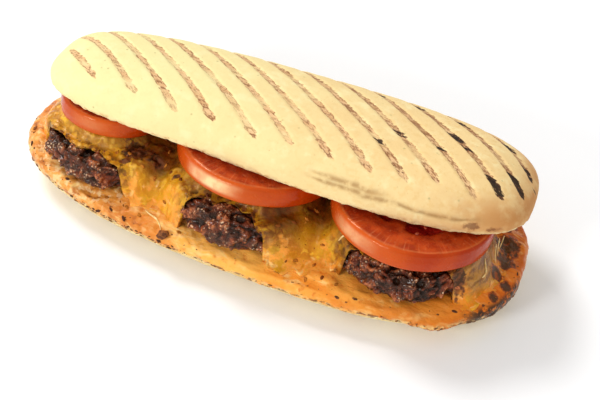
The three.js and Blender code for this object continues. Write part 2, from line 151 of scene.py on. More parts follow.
# Finer things on the sauce, the cheese and the rim, thickest at an x and fewer away from it
SPECKS = Named(
    count=380, small=0.3, large=1.1, seed=5, thickest=20, spread=22, left=-108, right=106, front=-46, back=2,
)
CRUMBS = Named(count=420, small=0.4, large=1.6, seed=6, thickest=-55, spread=40, low=9.2, high=12.6)
LARGE_CRUMB = Named(x=-34, y=-39.5, size=(6.2, 4.2, 3.4))

# Strings of cheese: drawn out at (x, y) from a height, leaning along x, and fallen from one (x, y) to
# another, bowed along x
DRAWN_THREADS = [(99, 0, 33, 1.2), (100.5, 3, 32, -0.6), (98.5, -4, 33, 1.8)]
FALLEN_THREADS = [
    ((-46, -31), (-36, -38), 2.0),
    ((95.8, -12), (97.2, -19), 1.5),
    ((37.5, -27.5), (43, -25), 0.4),
]

# The tint of highlights on food that is wet and warm in colour
WARM = (1.0, 0.72, 0.46)


# Numbers and noise

def smooth(start, end, v):
    """A soft step from 0 at start to 1 at end"""
    share = np.clip((v - start) / (end - start), 0, 1)
    return share * share * (3 - 2 * share)


def quarter_round(share):
    """A step that rises steeply from 0 at 0 and levels off at 1"""
    return np.sqrt(1 - (1 - np.clip(share, 0, 1)) ** 2)


def signed_power(v, power):
    return np.sign(v) * np.abs(v) ** power


def ripple(a, b, seed):
    """The same soft waves from -1 to 1 as on the solids"""
    return (
        0.5 * np.sin(a + 1.7 * seed + 1.3 * np.sin(0.8 * b + seed))
        + 0.3 * np.sin(1.9 * b + 3.1 * seed + np.sin(1.1 * a))
        + 0.2 * np.sin(2.7 * a - 1.6 * b + 0.9 * seed)
    )


def cell_values(cells, seed):
    """One number from 0 to 1 for each cell of a lattice"""
    mixed = cells[..., 0] * 374761393 + cells[..., 1] * 668265263 + cells[..., 2] * 2246822519
    mixed = mixed + seed * 3266489917
    mixed = (mixed ^ (mixed >> 13)) * 1274126177
    mixed = (mixed ^ (mixed >> 16)) * 2654435761
    return ((mixed ^ (mixed >> 15)) & 0xFFFFFF) / 0xFFFFFF


def noise(points, size, seed):
    """Soft unevenness from -1 to 1 with bumps of a size, which may differ along x, y and z"""
    scaled = np.asarray(points) / size
    cell = np.floor(scaled).astype(np.int64)
    part = scaled - cell
    ease = part * part * (3 - 2 * part)
    total = np.zeros(scaled.shape[:-1])
    for corner in np.ndindex(2, 2, 2):
        near = np.array(corner)
        weight = np.prod(np.where(near == 1, ease, 1 - ease), axis=-1)
        total += weight * cell_values(cell + near, seed)
    return 2 * total - 1


def fractal(points, size, seed, layers=3):
    """Noise with finer and weaker noise on it"""
    size = np.asarray(size, dtype=float)
    return sum(noise(points, size / 2**n, seed + 31 * n) / 2**n for n in range(layers))


def pebbles(points, size, seed):
    """Distances to the nearest of scattered centres, as shares of their spacing"""
    scaled = np.asarray(points) / size
    cell = np.floor(scaled).astype(np.int64)
    nearest = 9.0
    for step in np.ndindex(3, 3, 3):
        other = cell + np.array(step) - 1
        centre = other + np.stack([cell_values(other, seed + axis) for axis in range(3)], axis=-1)
        nearest = np.minimum(nearest, np.linalg.norm(scaled - centre, axis=-1))
    return nearest


def seeded_numbers(seed):
    """The same row of numbers from 0 to 1 as the solids draw from"""
    state, span = seed, 2**32
    while True:
        state = (state * 1664525 + 1013904223) % span
        yield state / span


def stacked(*parts):
    """Coordinates that are brought together as points"""
    return np.stack(np.broadcast_arrays(*parts), axis=-1).astype(float)


def full_turn(count):
    """Angles all the way round, in one row"""
    return np.linspace(0, 2 * math.pi, count, endpoint=False)[None, :]


def rounded(corners, count, passes):
    """Evenly spaced points along a line through corners, which it rounds off"""
    corners = np.array(corners, dtype=float)
    lengths = np.concatenate([[0], np.cumsum(np.linalg.norm(np.diff(corners, axis=0), axis=1))])
    even = np.linspace(0, lengths[-1], count)
    curve = np.stack([np.interp(even, lengths, column) for column in corners.T], axis=1)
    for _ in range(passes):
        curve[1:-1] = (curve[:-2] + 2 * curve[1:-1] + curve[2:]) / 4
    return curve


def thinned(curve, *stretches):
    """The points of a curve that are kept: for each stretch the share where it ends, and its count"""
    last = len(curve) - 1
    picks, start = [], 0
    for end, count in stretches:
        picks.append(np.linspace(start, end * last, count, endpoint=False))
        start = end * last
    return curve[np.round(np.concatenate([*picks, [last]])).astype(int)]


# Meshes

def ring_normals(rings):
    """Outward directions at the points of a surface made of rings"""
    around = np.roll(rings, -1, axis=1) - np.roll(rings, 1, axis=1)
    along = np.gradient(rings, axis=0)
    normals = np.cross(around, along)
    length = np.linalg.norm(normals, axis=-1, keepdims=True)
    return normals / np.maximum(length, 1e-9)


def linked(name, data):
    """A new object in the scene"""
    thing = bpy.data.objects.new(name, data)
    bpy.context.scene.collection.objects.link(thing)
    return thing


def new_piece(name, vertices, faces, fields=None):
    """A smooth mesh object from points in millimetres, with named numbers for each point"""
    mesh = bpy.data.meshes.new(name)
    vertices, faces = np.asarray(vertices) * MM, np.asarray(faces)
    mesh.from_pydata(vertices.tolist(), [], faces.tolist(), shade_flat=False)
    for field, values in (fields or {}).items():
        numbers = mesh.attributes.new(field, "FLOAT", "POINT")
        numbers.data.foreach_set("value", np.ravel(values).astype(np.float32))
    return linked(name, mesh)


def ring_faces(count, around):
    """The faces between rings of points"""
    here = np.arange((count - 1) * around).reshape(-1, around)
    after = np.roll(here, -1, axis=1)
    return np.stack([here, after, after + around, here + around], axis=-1).reshape(-1, 4)


def tidy_mesh(piece, merge=0.00001):
    """Joins points that lie together, drops faces without area and turns all faces outward"""
    shape = bmesh.new()
    shape.from_mesh(piece.data)
    bmesh.ops.remove_doubles(shape, verts=shape.verts, dist=merge)
    bmesh.ops.dissolve_degenerate(shape, edges=shape.edges, dist=merge / 10)
    bmesh.ops.recalc_face_normals(shape, faces=shape.faces)
    shape.to_mesh(piece.data)
    shape.free()
    return piece


def ring_piece(name, rings, fields):
    """A closed piece through rings of points, whose first and last ring fold flat or meet in a point"""
    grid = rings.shape[:2]
    fields = {field: np.broadcast_to(values, grid) for field, values in fields.items()}
    return tidy_mesh(new_piece(name, rings.reshape(-1, 3), ring_faces(*grid), fields))


def sheet_piece(name, top, bottom, fields):
    """A closed sheet from two grids of points, joined along their edges"""
    grid = top.shape[:2]
    count = grid[0] * grid[1]
    i = np.arange(count).reshape(grid)
    over = np.stack([i[:-1, :-1], i[:-1, 1:], i[1:, 1:], i[1:, :-1]], axis=-1).reshape(-1, 4)
    edge = np.concatenate([i[0, :-1], i[:-1, -1], i[-1, :0:-1], i[:0:-1, 0]])
    after = np.roll(edge, -1)
    sides = np.stack([after, edge, edge + count, after + count], axis=-1)
    faces = np.concatenate([over, over[:, ::-1] + count, sides])
    points = np.concatenate([top.reshape(-1, 3), bottom.reshape(-1, 3)])
    fields = {field: np.tile(np.broadcast_to(values, grid).ravel(), 2) for field, values in fields.items()}
    return tidy_mesh(new_piece(name, points, faces, fields), merge=0.00002)


def dress(piece, material, slot, *nodes):
    """Gives a piece its material and says where it belongs"""
    piece.data.materials.append(material)
    if nodes:
        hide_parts(*nodes)
    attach(piece, "root")


# Many small things as one piece

def pebble_shape(detail):
    """The points and faces of a round pebble with a radius of 1"""
    shape = bmesh.new()
    bmesh.ops.create_icosphere(shape, subdivisions=detail, radius=1)
    points = np.array([point.co[:] for point in shape.verts])
    faces = np.array([[point.index for point in face.verts] for face in shape.faces])
    shape.free()
    return points, faces


def scattered(name, spots, detail, unevenness):
    """One mesh of uneven pebbles, each at a place, turned to a direction, with its size and spin"""
    base, triangles = pebble_shape(detail)
    points, faces, shade = [], [], []
    for number, (place, upward, size, spin) in enumerate(spots):
        swell = 1 + unevenness * noise(base * 1.4 + 9.7 * number, 1, 71)
        turn = Vector(upward).to_track_quat("Z", "Y").to_matrix() @ Matrix.Rotation(spin, 3, "Z")
        shaped = base * swell[:, None] * np.array(size) / 2
        points.append(shaped @ np.array(turn).T + np.array(place))
        faces.append(triangles + number * len(base))
        shade.append(np.full(len(base), cell_values(np.array([number, 3, 7]), 5)))
    return new_piece(name, np.concatenate(points), np.concatenate(faces), {"shade": np.concatenate(shade)})


def tubes(name, lines, sides=7):
    """One mesh of thin threads, each through its own points, with a radius that thins to its ends"""
    points, faces = [], []
    askew = (0.31, 0.27, 0.91)
    for line, radius in lines:
        curve = rounded(line, 34, 10)
        along = np.gradient(curve, axis=0)
        along /= np.linalg.norm(along, axis=1, keepdims=True)
        side = np.cross(along, askew)
        side /= np.linalg.norm(side, axis=1, keepdims=True)
        over = np.cross(along, side)
        taper = 0.15 + 0.85 * np.sin(np.linspace(0, math.pi, len(curve))) ** 0.4
        thickness = radius * taper * (1 + 0.25 * noise(curve, 1.6, 77))
        angle = full_turn(sides)[..., None]
        ring = np.cos(angle) * side[:, None] + np.sin(angle) * over[:, None]
        rings = curve[:, None] + thickness[:, None, None] * ring
        first, last = (np.repeat(end[:, None], sides, axis=1) for end in (curve[:1], curve[-1:]))
        closed = np.concatenate([first, rings, last])
        faces.append(ring_faces(len(closed), sides) + len(points) * closed[..., 0].size)
        points.append(closed.reshape(-1, 3))
    return tidy_mesh(new_piece(name, np.concatenate(points), np.concatenate(faces)), merge=0.000001)


def surface_of(piece):
    """A piece's faces, which rays can be sent at"""
    values = np.empty(len(piece.data.vertices) * 3)
    piece.data.vertices.foreach_get("co", values)
    points = (values.reshape(-1, 3) / MM).tolist()
    return BVHTree.FromPolygons(points, [tuple(face.vertices) for face in piece.data.polygons])


def first_met(surfaces, start, direction):
    """The surface that a ray meets first: its name, the place and the way that it faces there"""
    hits = [(name, *surface.ray_cast(start, direction)) for name, surface in surfaces.items()]
    hits = [hit for hit in hits if hit[1] is not None]
    return min(hits, key=lambda hit: hit[4])[:3] if hits else (None, None, None)


def highest(surfaces, x, y):
    """What a ray meets first straight down from above"""
    return first_met(surfaces, Vector((x, y, 100)), Vector((0, 0, -1)))


# The forms that the solids have

def half_width_at(loaf, x, spread, is_front):
    full = loaf.width * (1 + loaf.taper * x / loaf.length)
    tuck = loaf.tuck * np.exp(-(((x - loaf.tuck_x) / loaf.tuck_spread) ** 2))
    return spread * np.where(is_front, full - tuck, full)


def bend_at(loaf, x):
    return loaf.bend * (x / loaf.length) ** 2


def loaf_outline(loaf, angle, inset):
    """Points of a loaf's outline, brought in by an inset"""
    along = signed_power(np.cos(angle), 2 / loaf.squareness)
    across = signed_power(np.sin(angle), 2 / loaf.squareness)
    spread = np.maximum(0, 1 - inset / loaf.width)
    x = along * (loaf.length - (1 - spread) * loaf.width)
    y = across * half_width_at(loaf, x, spread, across < 0) + bend_at(loaf, x)
    return x, y


def even_angles(loaf, count):
    """Angles, mirrored front to back, that space the points of the widest outline evenly"""
    angle = np.linspace(0, math.pi, 6000)
    x, y = loaf_outline(loaf, angle, 0)
    lengths = np.concatenate([[0], np.cumsum(np.hypot(np.diff(x), np.diff(y)))])
    half = np.interp(np.linspace(0, lengths[-1], count // 2 + 1), lengths, angle)
    return np.concatenate([half, -half[1:-1][::-1]])[None, :]


def inset_at(loaf, x, y):
    """How far points lie in from a loaf's widest outline, found by halving"""
    across = y - bend_at(loaf, x)
    low = np.zeros(np.shape(x))
    high = np.full(np.shape(x), float(loaf.width))
    for _ in range(24):
        inset = (low + high) / 2
        spread = 1 - inset / loaf.width
        length_share = np.abs(x) / (loaf.length - inset)
        width_share = np.abs(across) / half_width_at(loaf, x, spread, across < 0)
        within = length_share**loaf.squareness + width_share**loaf.squareness < 1
        low = np.where(within, inset, low)
        high = np.where(within, high, inset)
    return low


def curled_up(x, z):
    """Heights on the lower half, lifted by the curl of its ends"""
    return z + LOWER_END_RISE * (x / LOWER.length) ** 4 * z / CUT_MIDDLE_Z


def cut_face_height(x, inset):
    share = np.clip(inset / LOWER.width, 0, 1)
    return curled_up(x, CUT_MIDDLE_Z - (CUT_MIDDLE_Z - CUT_EDGE_Z) * (1 - share) ** 6)


def crown_height(x, inset):
    share = np.clip(inset / UPPER.width, 0, 1)
    profile = (1 - (1 - share) ** CROWN.shoulder) ** CROWN.roundness
    return CROWN.height * profile * (1 - CROWN.end_drop * (x / UPPER.length) ** 2)


def placed_on(place, points):
    """Points given in the plane of a tilted place, in the frame"""
    tilt = math.radians(place.tilt)
    x, y, z = np.moveaxis(points, -1, 0)
    turned_y = y * math.cos(tilt) + z * math.sin(tilt)
    turned_z = z * math.cos(tilt) - y * math.sin(tilt)
    return stacked(x + place.x, turned_y + place.y, turned_z + place.z)


def inside_round(thing, x, y):
    """How far points lie in from the edge of a patty or a slice"""
    return thing.radius - np.hypot(x - thing.x, y - thing.y)


def inside_meat(x, y):
    return np.maximum.reduce([inside_round(patty, x, y) for patty in PATTIES.values()])


def inside_spots(spots, x, y, core, squeeze=1, wander=0):
    """How far points are into round spots, given as (x, y, radius) with a full core, from 0 to 1"""
    share = 0
    for at_x, at_y, radius in spots:
        distance = np.hypot(x - at_x, squeeze * (y - at_y)) + wander
        share = np.maximum(share, smooth(radius, core * radius, distance))
    return share


def slice_top(slice_, y):
    return slice_.z - (y - slice_.y) * math.tan(math.radians(slice_.tilt))


def patty_top(patty, y):
    share = np.clip((y - patty.y) / patty.radius / 2 + 0.5, 0, 1)
    return PATTY_UNDERSIDE + patty.front + (patty.back - patty.front) * share


def sauce_heap(x, y):
    """How much higher the sauce is heaped where it lies free of the patties"""
    return SAUCE.heap * smooth(-1, -5, inside_meat(x, y)) * (0.5 + 0.5 * ripple(0.16 * x, 0.2 * y, 7))


def sauce_top(x, y):
    return cut_face_height(x, inset_at(LOWER, x, y)) + GAP + SAUCE.thickness


def drip_at(x, is_front):
    """How far the sauce at the rim is on its way down the drip, from 0 to 1"""
    return np.where(is_front, np.exp(-(((x - DRIP.x) / DRIP.spread) ** 2)), 0)


def deck(x, y, drape):
    """The height of what the cheese melts over: the sauce, rising softly to the patties' tops"""
    base = sauce_top(x, y)
    open_share, weight, height = 1, 1e-9, 0
    for patty in PATTIES.values():
        climb = smooth(-drape, 2, inside_round(patty, x, y))
        open_share = open_share * (1 - climb)
        weight = weight + climb
        height = height + climb * patty_top(patty, y)
    return base + (height / weight - base) * (1 - open_share)


def cling_to(x, y, z):
    """How far the cheese at a height rises to cling to the slices over it"""
    rise = 0
    for slice_ in TOMATOES.values():
        under = smooth(-1.5, 2, inside_round(slice_, x, y))
        free = slice_top(slice_, y) - slice_.thickness - z
        rise = np.maximum(rise, under * np.clip(free, 0, CHEESE_LAYER.cling))
    return rise


def cheese_reach(x, is_front):
    """How far the cheese runs to the front or the back"""
    start = CHEESE.front + CHEESE.front_slope * x if is_front else CHEESE.back
    middle = (CHEESE.left + CHEESE.right) / 2
    along = np.clip(np.abs(x - middle) / (CHEESE.right - middle), 0, 1)
    rounding = (1 - along**CHEESE.squareness) ** (1 / CHEESE.squareness)
    for at, reach, width in FRONT_TONGUES if is_front else BACK_TONGUES:
        start = start + reach * np.exp(-(((x - at) / width) ** 2))
    return rounding * start


def flake_places(layer):
    """Where the flakes fused to a layer's solid lie"""
    count, seed = FLAKES[layer]
    field = FLAKE_FIELD
    numbers = seeded_numbers(seed)
    places = []
    for _ in range(FLAKE.tries):
        if len(places) == count:
            break
        x = field.left + (field.right - field.left) * next(numbers)
        y = field.front + (field.back - field.front) * next(numbers)
        spin = math.radians(180 * next(numbers))
        past_cheese = -y - float(cheese_reach(x, True))
        if layer == "cheese":
            clear = max(inside_round(slice_, x, y) for slice_ in TOMATOES.values()) <= -field.clear
            is_there = past_cheese < -field.clear and clear and abs(x) < field.cheese_end
        else:
            clear = inside_meat(x, y) < -field.clear
            is_there = past_cheese > field.clear and clear and inset_at(LOWER, x, y) > field.from_rim
        if is_there and all(math.hypot(x - a, y - b) > FLAKE.spacing for a, b, _ in places):
            places.append((x, y, spin))
    return places


# The upper half of the roll

def mark_places(x, y):
    """Each point's distance to the middle of the nearest grill mark, and that mark's number"""
    marks = np.arange(MARKS.count)[:, None, None]
    slant = np.radians(MARKS.slant + MARKS.steepening * marks)
    middle = MARKS.first + marks * MARKS.pitch
    distances = np.abs(x - middle + y / np.tan(slant)) * np.sin(slant)
    return distances.min(axis=0), distances.argmin(axis=0)


def charred_at(number, y):
    """How burnt each point's grill mark is there"""
    burnt = np.zeros(np.shape(y))
    for mark, stretches in CHARRED.items():
        for middle, half in stretches:
            here = smooth(half + 1.2, half - 0.8, np.abs(y - middle)) * min(1, 0.6 + 0.13 * half)
            burnt = np.maximum(burnt, here * (number == mark))
    return burnt


def upper_rings():
    """The upper half's smooth form in its own plane, from the middle of its underside over the lip"""
    insets = UPPER.width * np.linspace(0, 1, 40)[1:] ** 1.6
    corners = [(UPPER.width, LIP[0][1]), *LIP, (0, 0), *zip(insets, crown_height(0, insets))]
    profile = thinned(rounded(corners, 700, 60), (0.36, 12), (1, 104))
    inset = np.maximum(profile[:, :1], 0)
    x, y = loaf_outline(UPPER, even_angles(UPPER, AROUND.roll), inset)
    drop = np.where(profile[:, 1:] > 0, 1 - CROWN.end_drop * (x / UPPER.length) ** 2, 1)
    return stacked(x, y, profile[:, 1:] * drop), inset


def over_slices(points, underside):
    """Lifts the underside clear of the tomato slices that press into it"""
    x, y, z = np.moveaxis(points, -1, 0).copy()
    for slice_ in TOMATOES.values():
        within = inside_round(slice_, x, y) > -1
        z = np.where(underside & within, np.maximum(z, slice_top(slice_, y) + GAP), z)
    return stacked(x, y, z)


def folds_at(x, y, z):
    """How deep the folds over the front lip are at each point"""
    deepest = 0
    along = stacked(x, 0, 0)
    for start, end, height in FOLDS:
        within = smooth(start, start + 10, x) * smooth(end, end - 14, x) * (y < 0)
        off = z - height - 0.7 * noise(along, 11, 4) - 0.3 * noise(along, 3, 6)
        width = FOLD.width * (1 + 0.5 * noise(along, 7, 12))
        deepest = np.maximum(deepest, within * np.exp(-((off / width) ** 2)))
    return deepest


def upper_half():
    rings, inset = upper_rings()
    x, y, z = np.moveaxis(rings, -1, 0)
    crust = smooth(-4.4, -1.4, z)
    crumb = smooth(-5.0, -6.0, z)
    across, number = mark_places(x, y)
    start = np.where(y > 0, MARK.back, np.array(MARK_FRONTS)[number])
    runs = smooth(0, MARK.tail, inset - start) * (z > 0)
    char = charred_at(number, y) * (z > 0)
    half_width = MARK.half_width * (0.5 + 0.5 * runs)
    groove = smooth(half_width + 0.6, half_width - 0.6, across + 0.3 * noise(rings, 5, 3)) * runs
    fold = folds_at(x, y, z)
    toast = inside_spots(TOASTED, x, z, core=0, squeeze=1.9) * (y < 0)
    relief = crust * (0.16 * fractal(rings, 26, 1) + 0.06 * fractal(rings, 5, 2)) - MARK.depth * groove
    relief -= FOLD.depth * fold * (0.7 + 0.3 * noise(rings, 3, 7))
    ragged = smooth(-6.4, -5.2, z) * smooth(-1.0, -3.0, z)
    relief += ragged * 0.35 * fractal(rings, 2.6, 8)
    pores = pebbles(rings, 2.6, 14)
    relief += crumb * (0.3 * fractal(rings, 4, 9) - 0.6 * smooth(0.42, 0.1, pores))
    shaped = placed_on(UPPER_PLACE, rings + ring_normals(rings) * relief[..., None])
    shaped = over_slices(shaped, underside=z < -0.9)
    fields = {
        "crust": crust, "runs": runs, "char": char, "across": across, "number": number,
        "fold": fold, "toast": toast, "inset": inset, "along_x": x, "along_y": y,
    }
    return ring_piece("roll_upper", shaped, fields)


# The lower half of the roll

def lower_half():
    corners = [(LOWER.width, 0), *LOWER_SIDE, (0.4, CUT_EDGE_Z - 0.3)]
    face = [(inset, float(cut_face_height(0, inset))) for inset in (1, 3, 8, 18, LOWER.width)]
    profile = thinned(rounded(corners + face, 700, 60), (0.3, 8), (0.6, 62), (1, 14))
    inset = np.maximum(profile[:, :1], 0)
    x, y = loaf_outline(LOWER, even_angles(LOWER, AROUND.roll), inset)
    rings = stacked(x, y, curled_up(x, profile[:, 1:]))
    z = rings[..., 2]
    above = smooth(0.2, 3, z)
    rim = smooth(8.5, 12, z) * smooth(6, 1, inset)
    flaky = pebbles(rings, (3.4, 3.4, 1.6), 24)
    relief = above * (0.22 * fractal(rings, 14, 21) + 0.1 * fractal(rings, 3, 22))
    relief += rim * (0.35 * fractal(rings, 2.6, 23) - 0.45 * smooth(0.4, 0.1, flaky))
    shaped = rings + ring_normals(rings) * relief[..., None]
    return ring_piece("roll_lower", shaped, {"rim": rim, "along_x": x, "along_y": y, "rise": z})


# Sauce

def scorched_at(x, y):
    """How scorched the filling's right end is at each point"""
    return inside_spots(SCORCHED, x, y, core=0.35)


def side_inset(height):
    """How far the lower half's side lies in from its widest outline at a height"""
    insets, heights = zip(*LOWER_SIDE)
    return np.interp(height, heights, insets)


def sauce_rings():
    """The sauce from a ragged film down the rim's side to its middle, and how far in each point lies"""
    angle = even_angles(LOWER, AROUND.sauce)
    edge_x, edge_y = loaf_outline(LOWER, angle, 0)
    edge = stacked(edge_x, edge_y, 0)
    is_front = np.sin(angle) < 0
    drip = drip_at(edge_x, is_front)
    rim_z = LOWER_SIDE[-1][1]
    run = SAUCE.run * np.where(is_front, 1, 0.6) * (1 + 0.55 * fractal(edge, 7, 43))
    run = np.maximum(run, 0.4) + (DRIP.drop - SAUCE.run) * drip
    up = np.linspace(0, 1, 10)[:, None]
    side_z = rim_z - run * (1 - up)
    film = SAUCE.film * (1 + 0.4 * noise(edge, 4, 44)) + DRIP.outset * drip * (0.6 + 0.4 * np.sin(3 * up))
    film = film * quarter_round(up * run / 0.9)
    x, y = loaf_outline(LOWER, angle, side_inset(side_z) - film)
    side = stacked(x, y, curled_up(x, side_z))
    near = np.array([0.25, 0.55, 0.9, 1.3, 1.75, 2.3, 2.9, 3.6, 4.3])
    inward = np.concatenate([near, np.arange(5.1, LOWER.width - 1, 0.85), [LOWER.width]])[:, None]
    x, y = loaf_outline(LOWER, angle, inward - film[-1] * smooth(7, 0, inward))
    full = cut_face_height(x, inward) + GAP + SAUCE.thickness - DRIP.sag * drip * smooth(8, 0, inward)
    full = full + smooth(1, 6, inward) * sauce_heap(x, y)
    start = curled_up(x, rim_z)
    top = stacked(x, y, start + (full - start) * quarter_round(inward / (1.9 + 2.4 * drip)))
    under = []
    for deeper, rise in ((0.3, 0), (1.4, 0.3), (LOWER.width, 2)):
        x, y = loaf_outline(LOWER, angle, np.minimum(side_inset(side_z[:1]) + deeper, LOWER.width))
        under.append(stacked(x, y, side_z[:1] + rise))
    under[-1][..., 2] = rim_z
    rings = np.concatenate([*under[::-1], side, top])
    inward = np.broadcast_to(inward, top.shape[:2])
    return rings, np.concatenate([np.full((len(under), AROUND.sauce), -9.0), -run * (1 - up), inward])


def sauce_piece():
    rings, inward = sauce_rings()
    x, y = rings[..., 0], rings[..., 1]
    smears = fractal(rings, (15, 3.4, 9), 51)
    lumps = fractal(rings, 5.5, 52)
    crumbly = pebbles(rings, 3.1, 53)
    on_top = smooth(0.6, 3, inward)
    to_left = smooth(6, -30, x)
    rings[..., 2] += on_top * (0.5 * smears + 0.5 * lumps + 0.95 * to_left * (0.5 - crumbly))
    bulge = (1 - on_top) * smooth(-9, -5, inward) * 0.35 * fractal(rings, 2.8, 56)
    rings += ring_normals(rings) * bulge[..., None]
    # The beside field marks where light is painted on the sauce next to the patties
    fields = {
        "smear": 0.5 + 0.5 * smears, "inward": inward, "crumbly": crumbly, "along_x": x, "along_y": y,
        "beside": smooth(-10, -2, inside_meat(x, y)), "burnt": scorched_at(x, y),
    }
    return ring_piece("sauce_spread", rings, fields)


# Beef

def patty_piece(name, patty):
    """A minced patty: the solid's form, with rounded strands of meat, gaps and pits, and fields for painted
    shade and highlights
    """
    profile = thinned(rounded(PATTY_SIDE, 600, 50), (0.4, 8), (0.78, 56), (1, 26))
    share, height = profile[:, :1], profile[:, 1:]
    angle = full_turn(AROUND.patty)
    circle = stacked(np.cos(angle), np.sin(angle), patty.seed)
    radius = share * (patty.radius + 1.6 * fractal(circle, 0.42, patty.seed, layers=3))
    x = patty.x + radius * np.cos(angle)
    y = patty.y + radius * np.sin(angle)
    rings = stacked(x, y, PATTY_UNDERSIDE + (patty_top(patty, y) - PATTY_UNDERSIDE) * height)
    warped = rings + 1.8 * stacked(*(noise(rings, 4.5, 61 + axis) for axis in range(3)))
    strands = np.abs(noise(warped, 4.2, 64 + patty.seed)) + 0.6 * np.abs(noise(warped, 2.1, 74 + patty.seed))
    fine = np.abs(noise(warped, 1.1, 86))
    pits = pebbles(rings + 0.8 * noise(rings, 3, 66)[..., None], 7.5, 94 + patty.seed)
    relief = 0.9 * fractal(rings, 9, 84 + patty.seed, layers=2) + 2.6 * (strands - 0.5) + 0.5 * fine
    relief -= 1.7 * smooth(0.33, 0.12, pits)
    shaped = rings + ring_normals(rings) * (smooth(0, 0.2, height) * relief)[..., None]
    # Fields for painted shade in the gaps and creases, and for painted highlights on the raised strands
    crease_shade = smooth(0.34, 0.06, strands)
    fields = {"deep": smooth(0.1, -1.5, relief), "proud": smooth(-0.4, 1.0, relief), "crease_shade": crease_shade}
    return ring_piece(name, shaped, fields)


# Cheese

def cheese_grid():
    """The sheet's points from above, the share of the way to its edge that each is out, and how far in"""
    middle, half = (CHEESE.left + CHEESE.right) / 2, (CHEESE.right - CHEESE.left) / 2
    x_line = middle - half * np.cos(np.linspace(0.012, math.pi - 0.012, CHEESE_GRID.along))
    across = np.linspace(-1, 1, CHEESE_GRID.across)[:, None]
    across = np.sign(across) * (1 - (1 - np.abs(across)) ** 1.2)
    x = np.broadcast_to(x_line, (len(across), len(x_line)))
    reach = np.where(across < 0, cheese_reach(x, True), cheese_reach(x, False))
    wander = 2.6 * fractal(stacked(x, across * reach, 0), 5.5, 91) * smooth(0.6, 1, np.abs(across))
    y = across * (reach + wander)
    end = np.where(x < 0, CHEESE.left, CHEESE.right)
    share = np.maximum(np.abs(across), 1 - (1 - x / end) / CHEESE_LAYER.end_share)
    from_edge = np.minimum((1 - np.abs(across)) * reach, np.minimum(x - x_line[0], x_line[-1] - x))
    return x, y, share, from_edge


def cheese_bottom(x, y):
    """The height of the sheet's underside, on the patties and the sauce"""
    bottom = sauce_top(x, y)
    for patty in PATTIES.values():
        inside = smooth(-0.6, 0.6, inside_round(patty, x, y))
        bottom = bottom + (patty_top(patty, y) + 0.2 - bottom) * inside
    return bottom


def shaded_at(x, y, wavy):
    """How much shade is painted on the cheese between and under the slices"""
    shaded = inside_spots(PAINTED_SHADE_SPOTS, x, y, core=0.3, wander=wavy)
    for slice_ in TOMATOES.values():
        near = smooth(-7, 1, inside_round(slice_, x, y) - wavy)
        shaded = np.maximum(shaded, 0.45 * near * smooth(-80, -55, x))
    return shaded


def cheese_piece():
    """One melted sheet over the patties, drawn thin at its edge and up to the slices"""
    x, y, share, from_edge = cheese_grid()
    flat = stacked(x, y, 0)
    bead = smooth(0, 11, from_edge + 3.5 * fractal(flat, 6, 98) * smooth(0, 2, from_edge))
    layer = CHEESE_LAYER.edge + (CHEESE_LAYER.thickness - CHEESE_LAYER.edge) * bead
    drape = CHEESE_LAYER.drape + (CHEESE_LAYER.edge_drape - CHEESE_LAYER.drape) * smooth(0.72, 1, share)
    top = deck(x, y, drape) + GAP + layer
    top = top + cling_to(x, y, top) * smooth(0, 6, from_edge)
    over_meat = smooth(-4, 2, inside_meat(x, y))
    bare = inside_spots(BARE_SPOTS, x, y, core=0.2, squeeze=1.4)
    curds = pebbles(flat, 2.6, 97)
    curdled = smooth(0, -30, x) * smooth(-8, -22, y) * (0.4 + 0.6 * bead)
    top = top + (0.3 + 0.7 * bead) * (0.6 * fractal(flat, 14, 92) + 0.4 * fractal(flat, (7, 2.6, 1), 93))
    top = top + (1 - over_meat) * 0.35 * fractal(flat, 3.5, 94) + (bare + 0.8 * curdled) * (0.5 - curds)
    bottom = np.minimum(cheese_bottom(x, y), top - 0.3)
    stringy = smooth(76, 86, x + 4 * noise(flat, 10, 95)) * smooth(20, 25, top)
    fields = {
        "over_meat": over_meat, "stringy": stringy, "bare": bare, "from_edge": from_edge,
        "shaded": shaded_at(x, y, 3 * noise(flat, 7, 99)), "burnt": scorched_at(x, y),
        "along_x": x, "curds": curds,
    }
    return sheet_piece("cheese_melted", stacked(x, y, top), stacked(x, y, bottom), fields)


# Tomato

def tomato_profile(slice_):
    """Shares of the slice's radius and heights, from the middle of its underside to that of its face"""
    depth, skin = slice_.thickness, TOMATO_FACE.skin
    corners = [(0, -depth), (0.95, -depth), (1.0, -depth + skin), (1.012, -depth / 2), (0.995, -skin)]
    corners += [(0.962, -0.1), (0.94, 0), (0, 0)]
    profile = rounded([(share * slice_.radius, height) for share, height in corners], 800, 30)
    profile = thinned(profile, (0.4, 8), (0.62, 34), (1, 54))
    return profile[:, :1] / slice_.radius, profile[:, 1:]


def chamber_at(slice_, angle, circle, share):
    """Whether points of the face are in one of its seed chambers, from 0 to 1"""
    wall = np.cos(TOMATO_FACE.chambers * angle / 2 + slice_.seed) ** 2
    wander = 0.04 * noise(circle, 0.35, 101)
    ring = smooth(TOMATO_FACE.flesh + wander, TOMATO_FACE.flesh - 0.06 + wander, share)
    ring = ring * smooth(TOMATO_FACE.core, TOMATO_FACE.core + 0.06, share)
    return ring * smooth(0.06, 0.35, wall)


